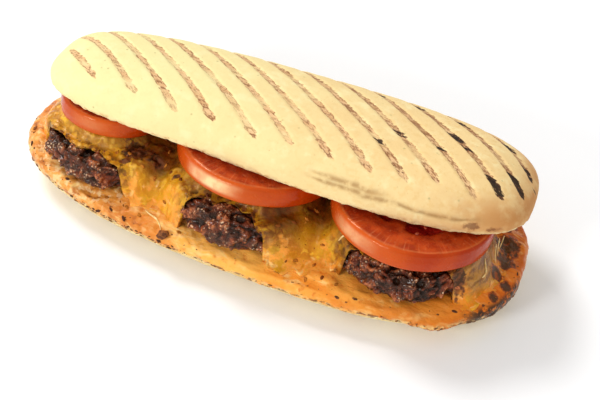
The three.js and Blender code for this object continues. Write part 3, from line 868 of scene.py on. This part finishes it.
def tomato_piece(name, slice_):
    """A slice with its skin, ring of flesh, sunk seed chambers and core"""
    depth = slice_.thickness
    share, height = tomato_profile(slice_)
    angle = full_turn(AROUND.slice)
    circle = stacked(np.cos(angle), np.sin(angle), slice_.seed)
    radius = share * (slice_.radius + 0.6 * fractal(circle, 0.8, slice_.seed, layers=2))
    on_face = smooth(-0.5, -0.05, height)
    chamber = chamber_at(slice_, angle, circle, share) * (height > -depth / 2)
    x, y = radius * np.cos(angle), radius * np.sin(angle)
    flat = stacked(x, y, height)
    z = height - TOMATO_FACE.pocket * chamber + on_face * 0.14 * fractal(flat, 4, 102)
    z = z + chamber * 0.3 * (fractal(flat, 4, 103) + 0.5)
    # The wall's side towards the front light gets a painted lit side, with a painted highlight inside it
    highlight_angle, highlight_strength = slice_.pale
    off_highlight = np.degrees(np.arccos(np.cos(angle - math.radians(highlight_angle))))
    low = smooth(2 - depth, 4 - depth, height) * smooth(-0.6, -2.6, height)
    pale = highlight_strength * smooth(26, 3, off_highlight + 5 * noise(flat, 5, 104)) * smooth(0.85, 0.98, share) * low
    side = smooth(65, 10, off_highlight) * smooth(0.85, 0.98, share)
    fields = {
        "chamber": chamber, "face": on_face, "share": share, "pale": pale, "side": side,
        "around": angle * slice_.radius,
    }
    return ring_piece(name, placed_on(slice_, stacked(x, y, z)), fields)


def seed_spots():
    """The seeds, which lie in the slices' chambers and point to the core"""
    random = np.random.default_rng(SEED.seed)
    spots = []
    for slice_ in TOMATOES.values():
        for chamber in range(TOMATO_FACE.chambers):
            middle = (math.pi * chamber - slice_.seed) * 2 / TOMATO_FACE.chambers
            for _ in range(SEED.count):
                angle = middle + random.uniform(-0.42, 0.42)
                out = slice_.radius * random.uniform(0.42, 0.72)
                height = SEED.height * random.uniform(0, 0.25) - TOMATO_FACE.pocket
                place = placed_on(slice_, np.array([out * math.cos(angle), out * math.sin(angle), height]))
                size = np.array([SEED.length, SEED.width, SEED.height]) * random.uniform(0.8, 1.1)
                spots.append((place, (0.1, 0.2, 1), size, angle + random.uniform(-0.5, 0.5)))
    return spots


# Flakes, specks and crumbs

def flake_spots(surfaces):
    """The flakes fused to the solids, each sunk a little into the surface under it"""
    size = (FLAKE.length, FLAKE.width, FLAKE.height)
    spots = []
    for layer in FLAKES:
        for x, y, spin in flake_places(layer):
            _, place, upward = highest({layer: surfaces[layer]}, x, y)
            spots.append((place + upward * (FLAKE.height / 2 - FLAKE.sunk), upward, size, spin))
    return spots


def speck_spots(surfaces):
    """Specks of pepper and herb on the sauce and the cheese, thickest right of the middle"""
    random = np.random.default_rng(SPECKS.seed)
    spots = []
    for _ in range(SPECKS.count):
        x, y = random.uniform(SPECKS.left, SPECKS.right), random.uniform(SPECKS.front, SPECKS.back)
        size = SPECKS.small + (SPECKS.large - SPECKS.small) * random.random() ** 2.5
        shape = np.array([size * random.uniform(1.2, 2.6), size, 0.35 * size])
        spin, luck = random.uniform(0, math.pi), random.random()
        name, place, upward = highest(surfaces, x, y)
        is_wanted = luck < 0.25 + 0.75 * math.exp(-(((x - SPECKS.thickest) / SPECKS.spread) ** 2))
        if name in FLAKES and is_wanted and inset_at(LOWER, x, y) > 1:
            spots.append((place, upward, shape, spin))
    return spots


def crumb_spots(surfaces):
    """Toasted crumbs on the sauce's edge and the rim, thickest along the front left, and a large one"""
    random = np.random.default_rng(CRUMBS.seed)
    spots = []
    for _ in range(CRUMBS.count):
        angle = -math.pi * random.random()
        inset, height = random.uniform(0.2, 2.6), random.uniform(CRUMBS.low, CRUMBS.high)
        size = CRUMBS.small + (CRUMBS.large - CRUMBS.small) * random.random() ** 3
        shape = size * np.array([random.uniform(1.0, 1.9), random.uniform(0.6, 1.0), 0.6])
        luck, from_side = random.random(), random.random() < 0.75
        x, y = (float(part) for part in loaf_outline(LOWER, np.array(angle), inset))
        is_wanted = luck < 0.3 + 0.7 * math.exp(-(((x - CRUMBS.thickest) / CRUMBS.spread) ** 2))
        if from_side:
            outward = Vector((x / LOWER.length**2, y / LOWER.width**2, 0)).normalized()
            _, place, upward = first_met(surfaces, Vector((x, y, height)) + outward * 20, -outward)
        else:
            _, place, upward = highest(surfaces, x, y)
        if place is not None and is_wanted:
            spots.append((place, upward, shape, random.uniform(-0.5, 0.5)))
    _, place, upward = highest(surfaces, LARGE_CRUMB.x, LARGE_CRUMB.y)
    spots.append((place + upward, upward, LARGE_CRUMB.size, 0.3))
    return spots


def cheese_threads(surfaces):
    """Pale strings of cheese: drawn out at the right end, and fallen on the sauce"""
    lines = []
    for x, y, top, lean in DRAWN_THREADS:
        _, foot, _ = highest(surfaces, x + lean, y - 1)
        half_way = (x + 0.3 * lean, y, 0.5 * (top + foot.z))
        lines.append(([(x, y, top), half_way, (x + lean, y - 1, foot.z - 0.2)], 0.26))
    for start, end, bow in FALLEN_THREADS:
        points = []
        for share in np.linspace(0, 1, 7):
            x = start[0] + (end[0] - start[0]) * share + bow * math.sin(math.pi * share)
            y = start[1] + (end[1] - start[1]) * share
            points.append((x, y, highest(surfaces, x, y)[1].z + 0.15))
        lines.append((points, 0.4))
    return lines


# Materials

def linear(colour):
    """A colour seen on a screen, 0 to 255, as the light it stands for"""
    return tuple((c / 255 / 12.92 if c < 10.3 else ((c / 255 + 0.055) / 1.055) ** 2.4) for c in colour)


class Finish:
    """A material whose nodes are added one after another, with a colour that is painted over"""

    def __init__(self, name):
        self.material = bpy.data.materials.new(name)
        self.material.use_nodes = True
        self.tree = self.material.node_tree
        self.place = self.add("TexCoord", "Object")
        self.colour = None

    def put(self, socket, value):
        """Fills a socket with a value, with another node's output or with a field that is named"""
        if isinstance(value, str):
            value = self.add("Attribute", "Fac", attribute_name=value)
        if isinstance(value, bpy.types.NodeSocket):
            self.tree.links.new(value, socket)
        elif isinstance(value, tuple) and socket.type == "RGBA":
            socket.default_value = (*value, 1)
        else:
            socket.default_value = value

    def add(self, kind, output, inputs=None, **settings):
        """An output of a new node that has its settings and inputs filled in"""
        node = self.tree.nodes.new("ShaderNode" + kind)
        for name, value in settings.items():
            setattr(node, name, value)
        for name, value in (inputs or {}).items():
            self.put(node.inputs[name], value)
        return node.outputs[output]

    def math(self, operation, *values):
        return self.add("Math", 0, dict(enumerate(values)), operation=operation)

    def times(self, *values):
        product = values[0]
        for value in values[1:]:
            product = self.math("MULTIPLY", product, value)
        return product

    def together(self, *parts):
        """Fields in millimetres as one place in metres"""
        metres = [self.math("MULTIPLY", part, MM) for part in parts]
        return self.add("CombineXYZ", "Vector", dict(enumerate(metres)))

    def noise(self, size, detail=3, roughness=0.55, stretch=(1, 1, 1), distortion=0, place=None):
        """Noise with bumps of a size in millimetres"""
        scale = tuple(1 / (size * MM * s) for s in stretch)
        spread = self.add("Mapping", "Vector", {"Vector": place or self.place, "Scale": scale})
        kind = {"Detail": detail, "Roughness": roughness, "Distortion": distortion}
        return self.add("TexNoise", "Fac", {"Vector": spread, "Scale": 1, **kind})

    def cells(self, size):
        """The distance to scattered points with a spacing in millimetres, as a share of it"""
        return self.add("TexVoronoi", "Distance", {"Vector": self.place, "Scale": 1 / (size * MM)})

    def step(self, value, start, end, low=0.0, high=1.0):
        """A soft step of a value, from low to high"""
        ends = {"From Min": start, "From Max": end, "To Min": low, "To Max": high}
        return self.add("MapRange", "Result", {"Value": value, **ends}, interpolation_type="SMOOTHSTEP")

    def patches(self, size, start, end, low=0.0, high=1.0, **kind):
        """A soft step of noise, from low to high"""
        return self.step(self.noise(size, **kind), start, end, low, high)

    def mix(self, low, high, share):
        """A colour between two, which are other colours or seen on a screen, 0 to 255"""
        low, high = (linear(colour) if isinstance(colour, tuple) else colour for colour in (low, high))
        return self.add("Mix", 2, {0: share, 6: low, 7: high}, data_type="RGBA")

    def paint(self, colour, *shares):
        """Lays a colour over the one so far, by all its shares together"""
        self.colour = self.mix(self.colour, colour, self.times(*shares))

    def bump(self, height, depth, under=None):
        """Relief whose height of 1 is a depth in millimetres"""
        lower = {} if under is None else {"Normal": under}
        return self.add("Bump", "Normal", {"Distance": depth * MM, "Height": height, **lower})

    def finish(self, roughness, normal, **settings):
        shader = self.tree.nodes["Principled BSDF"]
        inputs = {"Base Color": self.colour, "Roughness": roughness, "Normal": normal}
        for name, value in settings.items():
            inputs[name.replace("_", " ").title().replace("Ior", "IOR")] = value
        for name, value in inputs.items():
            self.put(shader.inputs[name], value)
        return self.material


def crust_finish():
    """Pale floury crust, creamier to the left and browner to the right end, with its grill marks"""
    f = Finish("crust_floury")
    to_right = f.step("along_x", -80, 60)
    f.colour = f.mix((240, 227, 164), (238, 208, 148), to_right)
    f.paint((234, 198, 136), f.patches(22, 0.34, 0.66, detail=4), f.step(to_right, 0, 1, 0.1, 0.65))
    f.paint((246, 233, 178), f.patches(7, 0.5, 0.72, 0, 0.5))
    f.paint((228, 190, 124), f.patches(2.6, 0.5, 0.66, detail=5), f.step("along_x", -40, 80, 0.1, 0.5))
    browned = f.patches(8, 0.3, 0.6, 0.45, 1, detail=5)
    f.paint((202, 142, 82), f.step("along_x", 52, 102), f.step("inset", 13, 1), browned)
    f.paint((170, 160, 108), f.step(f.cells(6.5), 0.12, 0.03), f.patches(20, 0.42, 0.52), 0.6)
    f.paint((190, 146, 90), f.step(f.cells(3.1), 0.12, 0.05), f.patches(9, 0.54, 0.64), 0.6)
    torn = f.mix((243, 224, 168), (214, 170, 108), f.patches(3, 0.45, 0.7))
    f.colour = f.mix(torn, f.colour, "crust")
    # Brown along the folds: partly browner crust in the crease, partly painted shade
    f.paint((158, 110, 58), "fold", f.patches(3.5, 0.3, 0.56, 0.3, 1, detail=5), 0.7)
    blotched = f.math("ADD", "toast", f.patches(3, 0.3, 0.7, -0.5, 0.3))
    singed = f.mix((190, 130, 78), (118, 66, 38), f.step(blotched, 0.3, 0.8))
    f.paint(singed, f.step("toast", 0, 0.3), f.step(blotched, 0, 0.8, 0, 0.75))
    grill_marks(f)
    grain = f.noise(1.0, detail=4)
    normal = f.bump(f.noise(4.5), 0.16, f.bump(grain, 0.08))
    return f.finish(f.step(grain, 0.3, 0.7, 0.66, 0.85), normal, specular_ior_level=0.2)


def grill_marks(f):
    """Faded tan bars with broken brown flecks, browner to the right and charred in places"""
    seat = f.together("along_y", "across", f.math("MULTIPLY", "number", 31))
    ragged = f.noise(1.6, detail=5, roughness=0.65, place=seat)
    wide = f.math("ADD", MARK.half_width, f.step("char", 0.8, 1, 0, 0.4))
    reach = f.math("MULTIPLY", f.step("runs", 0, 1, 0.4, 1), wide)
    inward = f.math("SUBTRACT", f.math("ADD", reach, f.step(ragged, 0.3, 0.7, -0.5, 0.5)), "across")
    inside = f.times(f.step(inward, 0, 0.5), f.step("runs", 0.02, 0.2))
    fade = f.patches(10, 0.36, 0.54, 0.4, 1, place=seat)
    f.paint(f.mix((234, 192, 144), (212, 162, 112), f.step(ragged, 0.38, 0.62)), inside, fade, 0.9)
    at_edge = f.times(f.step(inward, 1.0, 0.2, 0, 0.08), "runs")
    browner = f.math("ADD", f.step("number", 4, 13, 0, 0.1), at_edge)
    flecks = f.noise(0.9, detail=4, roughness=0.7, stretch=(1.6, 0.8, 1), place=seat)
    f.paint((132, 82, 46), f.step(f.math("ADD", flecks, browner), 0.5, 0.62), inside, fade, 0.85)
    char = f.math("ADD", "char", f.patches(1.3, 0.3, 0.7, -0.6, 0.3, detail=5, place=seat))
    black = f.mix((76, 42, 24), (22, 12, 8), f.step(char, 0.45, 0.8))
    f.paint(black, f.step(char, 0.36, 0.5), inside, 0.95)


def lower_crust_finish():
    """The underside and side of the roll: pale crust, toasted at its rim and charred at its right end"""
    f = Finish("crust_lower")
    f.colour = f.mix((236, 212, 150), (222, 186, 120), f.patches(9, 0.35, 0.65))
    f.paint((248, 232, 178), f.patches(2.4, 0.5, 0.7))
    f.paint((222, 154, 78), "rim", f.patches(5, 0.4, 0.62, 0.1, 0.8))
    toasted = f.patches(3.4, 0.5, 0.6, detail=5, roughness=0.7)
    f.paint((128, 76, 36), toasted, f.step("rise", 7.2, 9.4), f.step("rise", 13.5, 11.5), 0.85)
    f.paint((104, 60, 30), "rim", f.patches(1.5, 0.57, 0.66))
    at_end = f.times(f.step("along_x", 92, 104), f.step("along_y", -34, -20), f.step("along_y", 2, -6))
    f.paint((50, 32, 22), at_end, f.step("rise", 6, 9), f.patches(5, 0.36, 0.5, detail=4))
    grain = f.noise(1.3, detail=4)
    return f.finish(f.step(grain, 0.3, 0.7, 0.62, 0.82), f.bump(grain, 0.15), specular_ior_level=0.2)


def soft_flesh(weight, green, blue, depth):
    """Settings of moist food: how much light enters, how far green and blue go beside red, how deep"""
    return {
        "subsurface_weight": weight, "subsurface_radius": (1.0, green, blue), "subsurface_scale": depth * MM,
        "specular_ior_level": 0.35, "specular_tint": WARM,
    }


def sauce_finish():
    """Creamy orange sauce with paler and deeper streaks, painted light beside the patties, scorched at the
    right end
    """
    f = Finish("sauce_creamy")
    to_left, to_right = f.step("along_x", 10, -70), f.step("along_x", 15, 85)
    orange = f.mix(f.mix((248, 168, 68), (222, 140, 58), to_left), (216, 116, 24), to_right)
    deep = f.mix(f.mix((240, 146, 42), (206, 120, 44), to_left), (198, 94, 14), to_right)
    f.colour = f.mix(deep, orange, f.step("smear", 0.25, 0.62))
    # Painted light on the sauce beside the patties, where their shadow falls, strongest near the middle
    painted_light_along_x = f.times(f.step("along_x", 30, 60, 0.85, 0.2), f.step("along_x", -60, -35, 0.3, 1))
    f.paint((255, 184, 82), "beside", painted_light_along_x)
    streaks = f.patches(6, 0.52, 0.7, detail=4, stretch=(1.8, 0.8, 1), distortion=0.9)
    f.paint((252, 206, 126), streaks, f.step("along_x", 30, 80, 0.8, 0.4))
    f.paint((214, 106, 24), f.patches(3.2, 0.58, 0.7, 0, 0.55))
    f.paint((250, 206, 136), to_left, f.step("crumbly", 0.55, 0.15), f.patches(7, 0.4, 0.56, 0, 0.5))
    f.paint((166, 88, 34), to_left, f.step("crumbly", 0.6, 0.78), f.patches(9, 0.4, 0.54), 0.75)
    # Pale cream flecks beside the patties at the left: partly froth, partly painted highlight
    f.paint((255, 218, 160), "beside", to_left, f.patches(2.4, 0.5, 0.6, detail=4), 0.6)
    f.paint((150, 78, 26), f.step(f.cells(2.2), 0.14, 0.07), f.patches(6, 0.52, 0.6), 0.8)
    f.paint((240, 204, 132), f.step("inward", 0.4, -1.2), f.patches(3.5, 0.44, 0.6, detail=4), 0.75)
    ragged = f.noise(2.4, detail=5, roughness=0.7)
    f.paint((128, 76, 38), f.step("inward", 0.1, -1.4), f.step(ragged, 0.5, 0.58))
    at_end = f.times(f.step("along_x", 90, 101), f.step("along_y", -2, -8), f.step("inward", 2.4, 0.4))
    f.paint((58, 36, 24), at_end, f.step(ragged, 0.38, 0.5))
    scorched(f)
    ripples = f.noise(2.6, detail=4, stretch=(1.6, 0.8, 1), distortion=0.4)
    normal = f.bump(f.noise(0.8), 0.1, f.bump(ripples, 0.5))
    return f.finish(f.patches(4, 0.35, 0.65, 0.24, 0.44), normal, **soft_flesh(0.15, 0.45, 0.15, depth=1.5))


def scorched(f):
    """Brown and black blotches where the filling is burnt"""
    singed = f.math("ADD", "burnt", f.patches(3.2, 0.34, 0.66, -0.55, 0.35, detail=5))
    brown = f.mix((152, 70, 30), (66, 38, 24), f.step(singed, 0.42, 0.8))
    f.paint(brown, f.step("burnt", 0, 0.25), f.step(singed, 0.1, 0.45, 0, 0.95))


def beef_finish():
    """Brown grilled mince: painted highlights and fat glints on its strands, painted shade nearly black in
    its gaps
    """
    f = Finish("beef_minced")
    f.colour = f.mix((114, 48, 26), (60, 22, 12), f.patches(5, 0.36, 0.6, detail=5))
    # Painted highlight on the raised strands
    f.paint((198, 120, 74), "proud", f.patches(1.4, 0.46, 0.56, detail=5, roughness=0.65), 0.85)
    f.paint((136, 54, 28), f.patches(3.1, 0.6, 0.72, 0, 0.6))
    f.paint((42, 17, 11), f.patches(8, 0.5, 0.6, 0, 0.7, detail=4))
    # Painted shade in the creases between strands, and nearly black in the deep gaps and pits
    f.paint((44, 16, 8), "crease_shade", 0.8)
    f.paint((26, 9, 4), f.step("deep", 0.1, 0.85, 0, 0.95))
    # Pale flecks on the raised strands: partly fat, partly painted glints
    f.paint((240, 212, 178), "proud", f.step(f.cells(1.2), 0.42, 0.2), f.patches(5, 0.42, 0.54), 0.9)
    grain = f.noise(0.8, detail=5, roughness=0.65)
    normal = f.bump(grain, 0.5, f.bump(f.noise(1.9, detail=4), 0.9))
    grease = {"coat_weight": 0.35, "coat_roughness": 0.08, "coat_tint": WARM}
    rough = f.patches(1.1, 0.4, 0.6, 0.25, 0.55)
    return f.finish(rough, normal, specular_ior_level=0.3, specular_tint=WARM, **grease)


def cheese_finish():
    """Melted cheese: golden where it pools, browner where it lies thin over meat, orange at its edge, with
    painted shade between and under the slices
    """
    f = Finish("cheese_melted")
    pool = f.mix((216, 152, 26), (198, 122, 18), f.patches(8, 0.4, 0.65))
    thin = f.mix((200, 138, 30), (150, 88, 18), f.patches(5, 0.4, 0.62, detail=5))
    thin = f.mix((190, 134, 42), thin, f.step("along_x", -75, -50, 0.3, 1))
    f.colour = f.mix(pool, thin, f.times("over_meat", f.patches(10, 0.34, 0.56, 0.2, 0.9)))
    f.paint((248, 190, 50), f.patches(5, 0.54, 0.7, 0, 0.8, distortion=0.8))
    f.paint((250, 200, 84), f.step("curds", 0.5, 0.15), f.step("along_x", 0, -30), 0.5)
    # Painted shade between and under the slices, from the shaded field
    f.paint(f.mix((100, 36, 6), (62, 16, 4), f.patches(4, 0.4, 0.6, detail=4)), "shaded", 0.9)
    sauce = f.mix((246, 162, 64), (230, 138, 36), f.step("along_x", 0, 70))
    sauce = f.mix(sauce, (252, 206, 126), f.patches(4, 0.52, 0.68, 0, 0.8, detail=4, distortion=0.7))
    from_edge = f.math("ADD", "from_edge", f.patches(5, 0.3, 0.7, -5, 5, detail=4))
    f.paint(sauce, f.step(from_edge, 8, 1), f.step("over_meat", 0.8, 0.2))
    drawn = f.mix((178, 126, 64), (110, 66, 34), f.patches(2.6, 0.4, 0.62, detail=4, stretch=(1, 3, 1)))
    f.paint(drawn, "stringy", f.patches(5, 0.35, 0.6, 0.3, 0.9))
    meat = f.mix((112, 60, 34), (50, 24, 14), f.patches(2.2, 0.4, 0.6, detail=4))
    worn = f.math("ADD", "bare", f.patches(2.4, 0.34, 0.66, -0.45, 0.25, detail=5))
    f.paint(meat, f.step("bare", 0, 0.2), f.step(worn, 0.1, 0.6, 0, 0.95))
    f.paint(meat, "over_meat", f.step("from_edge", 7, 1), f.patches(2.8, 0.46, 0.56, detail=4), 0.85)
    scorched(f)
    normal = f.bump(f.noise(4), 0.5, f.bump(f.noise(0.9), 0.1))
    return f.finish(f.patches(6, 0.35, 0.65, 0.2, 0.4), normal, **soft_flesh(0.25, 0.5, 0.12, depth=2))


def tomato_finish():
    """Wet tomato: smooth skin with a painted lit side and highlight, a cut face with short pale streaks,
    dark gel inside
    """
    f = Finish("tomato_fresh")
    f.colour = f.mix((182, 64, 20), (152, 40, 8), f.patches(6, 0.38, 0.62))
    streaks = f.patches(1.5, 0.52, 0.7, stretch=(1, 9, 1), place=f.together("around", "share", 0))
    f.paint((226, 134, 88), f.step("share", 0.76, 0.88), streaks, 0.28)
    f.paint((218, 118, 74), f.patches(2.2, 0.6, 0.78, 0, 0.5, detail=4))
    # A thin paler ring at the face's outer edge: partly flesh colour, partly a painted highlight on the edge
    f.paint((226, 128, 66), f.step("share", 0.93, 0.955), f.step("share", 0.985, 0.965), 0.3)
    skin = f.mix((186, 60, 3), (170, 44, 2), f.patches(14, 0.35, 0.65))
    # Painted lit side and painted highlight on the skin, towards the front light
    skin = f.mix(skin, (218, 102, 30), f.times("side", 0.5))
    skin = f.mix(skin, (255, 218, 160), f.times("pale", f.patches(5, 0.3, 0.6, 0.6, 0.95)))
    f.colour = f.mix(skin, f.colour, f.step("face", 0.3, 0.9))
    gel = f.mix((126, 14, 8), (164, 34, 20), f.patches(2.2, 0.45, 0.65, detail=4))
    f.paint(gel, f.step("chamber", 0.05, 0.9))
    normal = f.bump(f.noise(1.6), 0.14, f.bump(f.noise(7, detail=2), 0.3))
    return f.finish(f.patches(3, 0.35, 0.65, 0.14, 0.28), normal, **soft_flesh(0.1, 0.2, 0.08, depth=1.5))


def seed_finish():
    f = Finish("seed_wet")
    f.colour = f.mix((206, 96, 60), (160, 40, 22), f.patches(1.5, 0.4, 0.65))
    return f.finish(f.patches(1, 0.4, 0.6, 0.08, 0.2), f.bump(f.noise(0.8), 0.1), coat_weight=0.6)


def flake_finish():
    f = Finish("flake_dried")
    f.colour = f.mix((196, 124, 44), (152, 84, 28), f.patches(0.8, 0.4, 0.62, detail=4))
    f.paint((124, 64, 24), f.step("shade", 0.45, 0.75))
    normal = f.bump(f.noise(0.6, detail=4), 0.3)
    return f.finish(f.patches(1, 0.4, 0.6, 0.6, 0.85), normal, specular_ior_level=0.08)


def crumb_finish():
    f = Finish("crumb_burnt")
    f.colour = f.mix((144, 86, 42), (94, 52, 28), f.patches(1.4, 0.42, 0.58, detail=4))
    f.paint((80, 43, 23), f.step("shade", 0.5, 0.7))
    normal = f.bump(f.noise(0.6, detail=4), 0.2)
    return f.finish(f.patches(1, 0.4, 0.6, 0.55, 0.8), normal, specular_ior_level=0.2)


def thread_finish():
    f = Finish("thread_cheese")
    f.colour = f.mix((240, 214, 150), (222, 178, 100), f.patches(2.5, 0.4, 0.65))
    return f.finish(f.patches(1.5, 0.4, 0.6, 0.28, 0.42), f.bump(f.noise(0.8), 0.08))


def floor_finish():
    f = Finish("floor_pale")
    f.colour = f.math("ADD", FLOOR_GREY, f.math("MULTIPLY", f.noise(60), 0.025))
    return f.finish(0.6, f.bump(f.noise(2), 0.01), specular_ior_level=0.2)


# Camera, light and floor

def add_camera():
    camera = linked("camera", bpy.data.cameras.new("camera"))
    camera.data.lens = CAMERA.lens
    camera.data.sensor_width = CAMERA.sensor
    camera.data.clip_start = CAMERA.nearest * MM
    turn = Matrix()
    for degrees, axis in ((CAMERA.azimuth, "Z"), (90 - CAMERA.elevation, "X"), (CAMERA.roll, "Z")):
        turn = turn @ Matrix.Rotation(math.radians(degrees), 4, axis)
    place = (Vector(CAMERA.aim) + turn.col[2].xyz * CAMERA.distance) * MM
    camera.matrix_world = Matrix.Translation(place) @ turn
    bpy.context.scene.camera = camera


def add_light(name, kind, place, **settings):
    """A light that faces the panini from a place in metres"""
    light = linked(name, bpy.data.lights.new(name, kind))
    for setting, value in settings.items():
        setattr(light.data, setting, value)
    light.location = place
    light.rotation_euler = (-Vector(place)).to_track_quat("-Z", "Y").to_euler()


def add_studio():
    world = bpy.data.worlds.new("studio")
    world.use_nodes = True
    world.node_tree.nodes["Background"].inputs["Color"].default_value = (1, 1, 1, 1)
    world.node_tree.nodes["Background"].inputs["Strength"].default_value = SKY_POWER
    bpy.context.scene.world = world
    add_light("key", "SUN", KEY_LIGHT.place, energy=KEY_LIGHT.power, angle=math.radians(KEY_LIGHT.angle))
    add_light("side", "AREA", SIDE_LIGHT.place, energy=SIDE_LIGHT.power, size=SIDE_LIGHT.size)
    bpy.context.scene.view_settings.view_transform = "Standard"
    corners = [(x * FLOOR_SIDE, y * FLOOR_SIDE, 0) for x, y in ((-1, -1), (1, -1), (1, 1), (-1, 1))]
    floor = new_piece("floor", corners, [(0, 1, 2, 3)])
    floor.data.materials.append(floor_finish())


add_camera()
upper, lower, sauce, cheese = upper_half(), lower_half(), sauce_piece(), cheese_piece()
dress(upper, crust_finish(), "crust", "bread_upper")
dress(lower, lower_crust_finish(), "crust", "bread_lower")
dress(sauce, sauce_finish(), "sauce", "sauce")
dress(cheese, cheese_finish(), "cheese", "cheese")

beef, tomato = beef_finish(), tomato_finish()
patties = {side: patty_piece(f"beef_{side}", patty) for side, patty in PATTIES.items()}
slices = {side: tomato_piece(f"slice_{side}", slice_) for side, slice_ in TOMATOES.items()}
for side in PATTIES:
    dress(patties[side], beef, "beef", f"patty_{side}")
    dress(slices[side], tomato, "tomato", f"tomato_{side}")
dress(scattered("slice_seeds", seed_spots(), 2, 0.1), seed_finish(), "tomato")

layers = {"sauce": surface_of(sauce), "cheese": surface_of(cheese), "crust": surface_of(lower)}
covered = {**layers, **{side: surface_of(patties[side]) for side in PATTIES}}
dress(tubes("cheese_threads", cheese_threads(covered)), thread_finish(), "cheese")
covered.update({f"slice_{side}": surface_of(slices[side]) for side in TOMATOES})
dress(scattered("herb_flakes", flake_spots(layers), 2, 0.5), flake_finish(), "beef")
dress(scattered("pepper_specks", speck_spots(covered), 1, 0.5), flake_finish(), "beef")
dress(scattered("rim_crumbs", crumb_spots(layers), 2, 0.4), crumb_finish(), "beef")
add_studio()
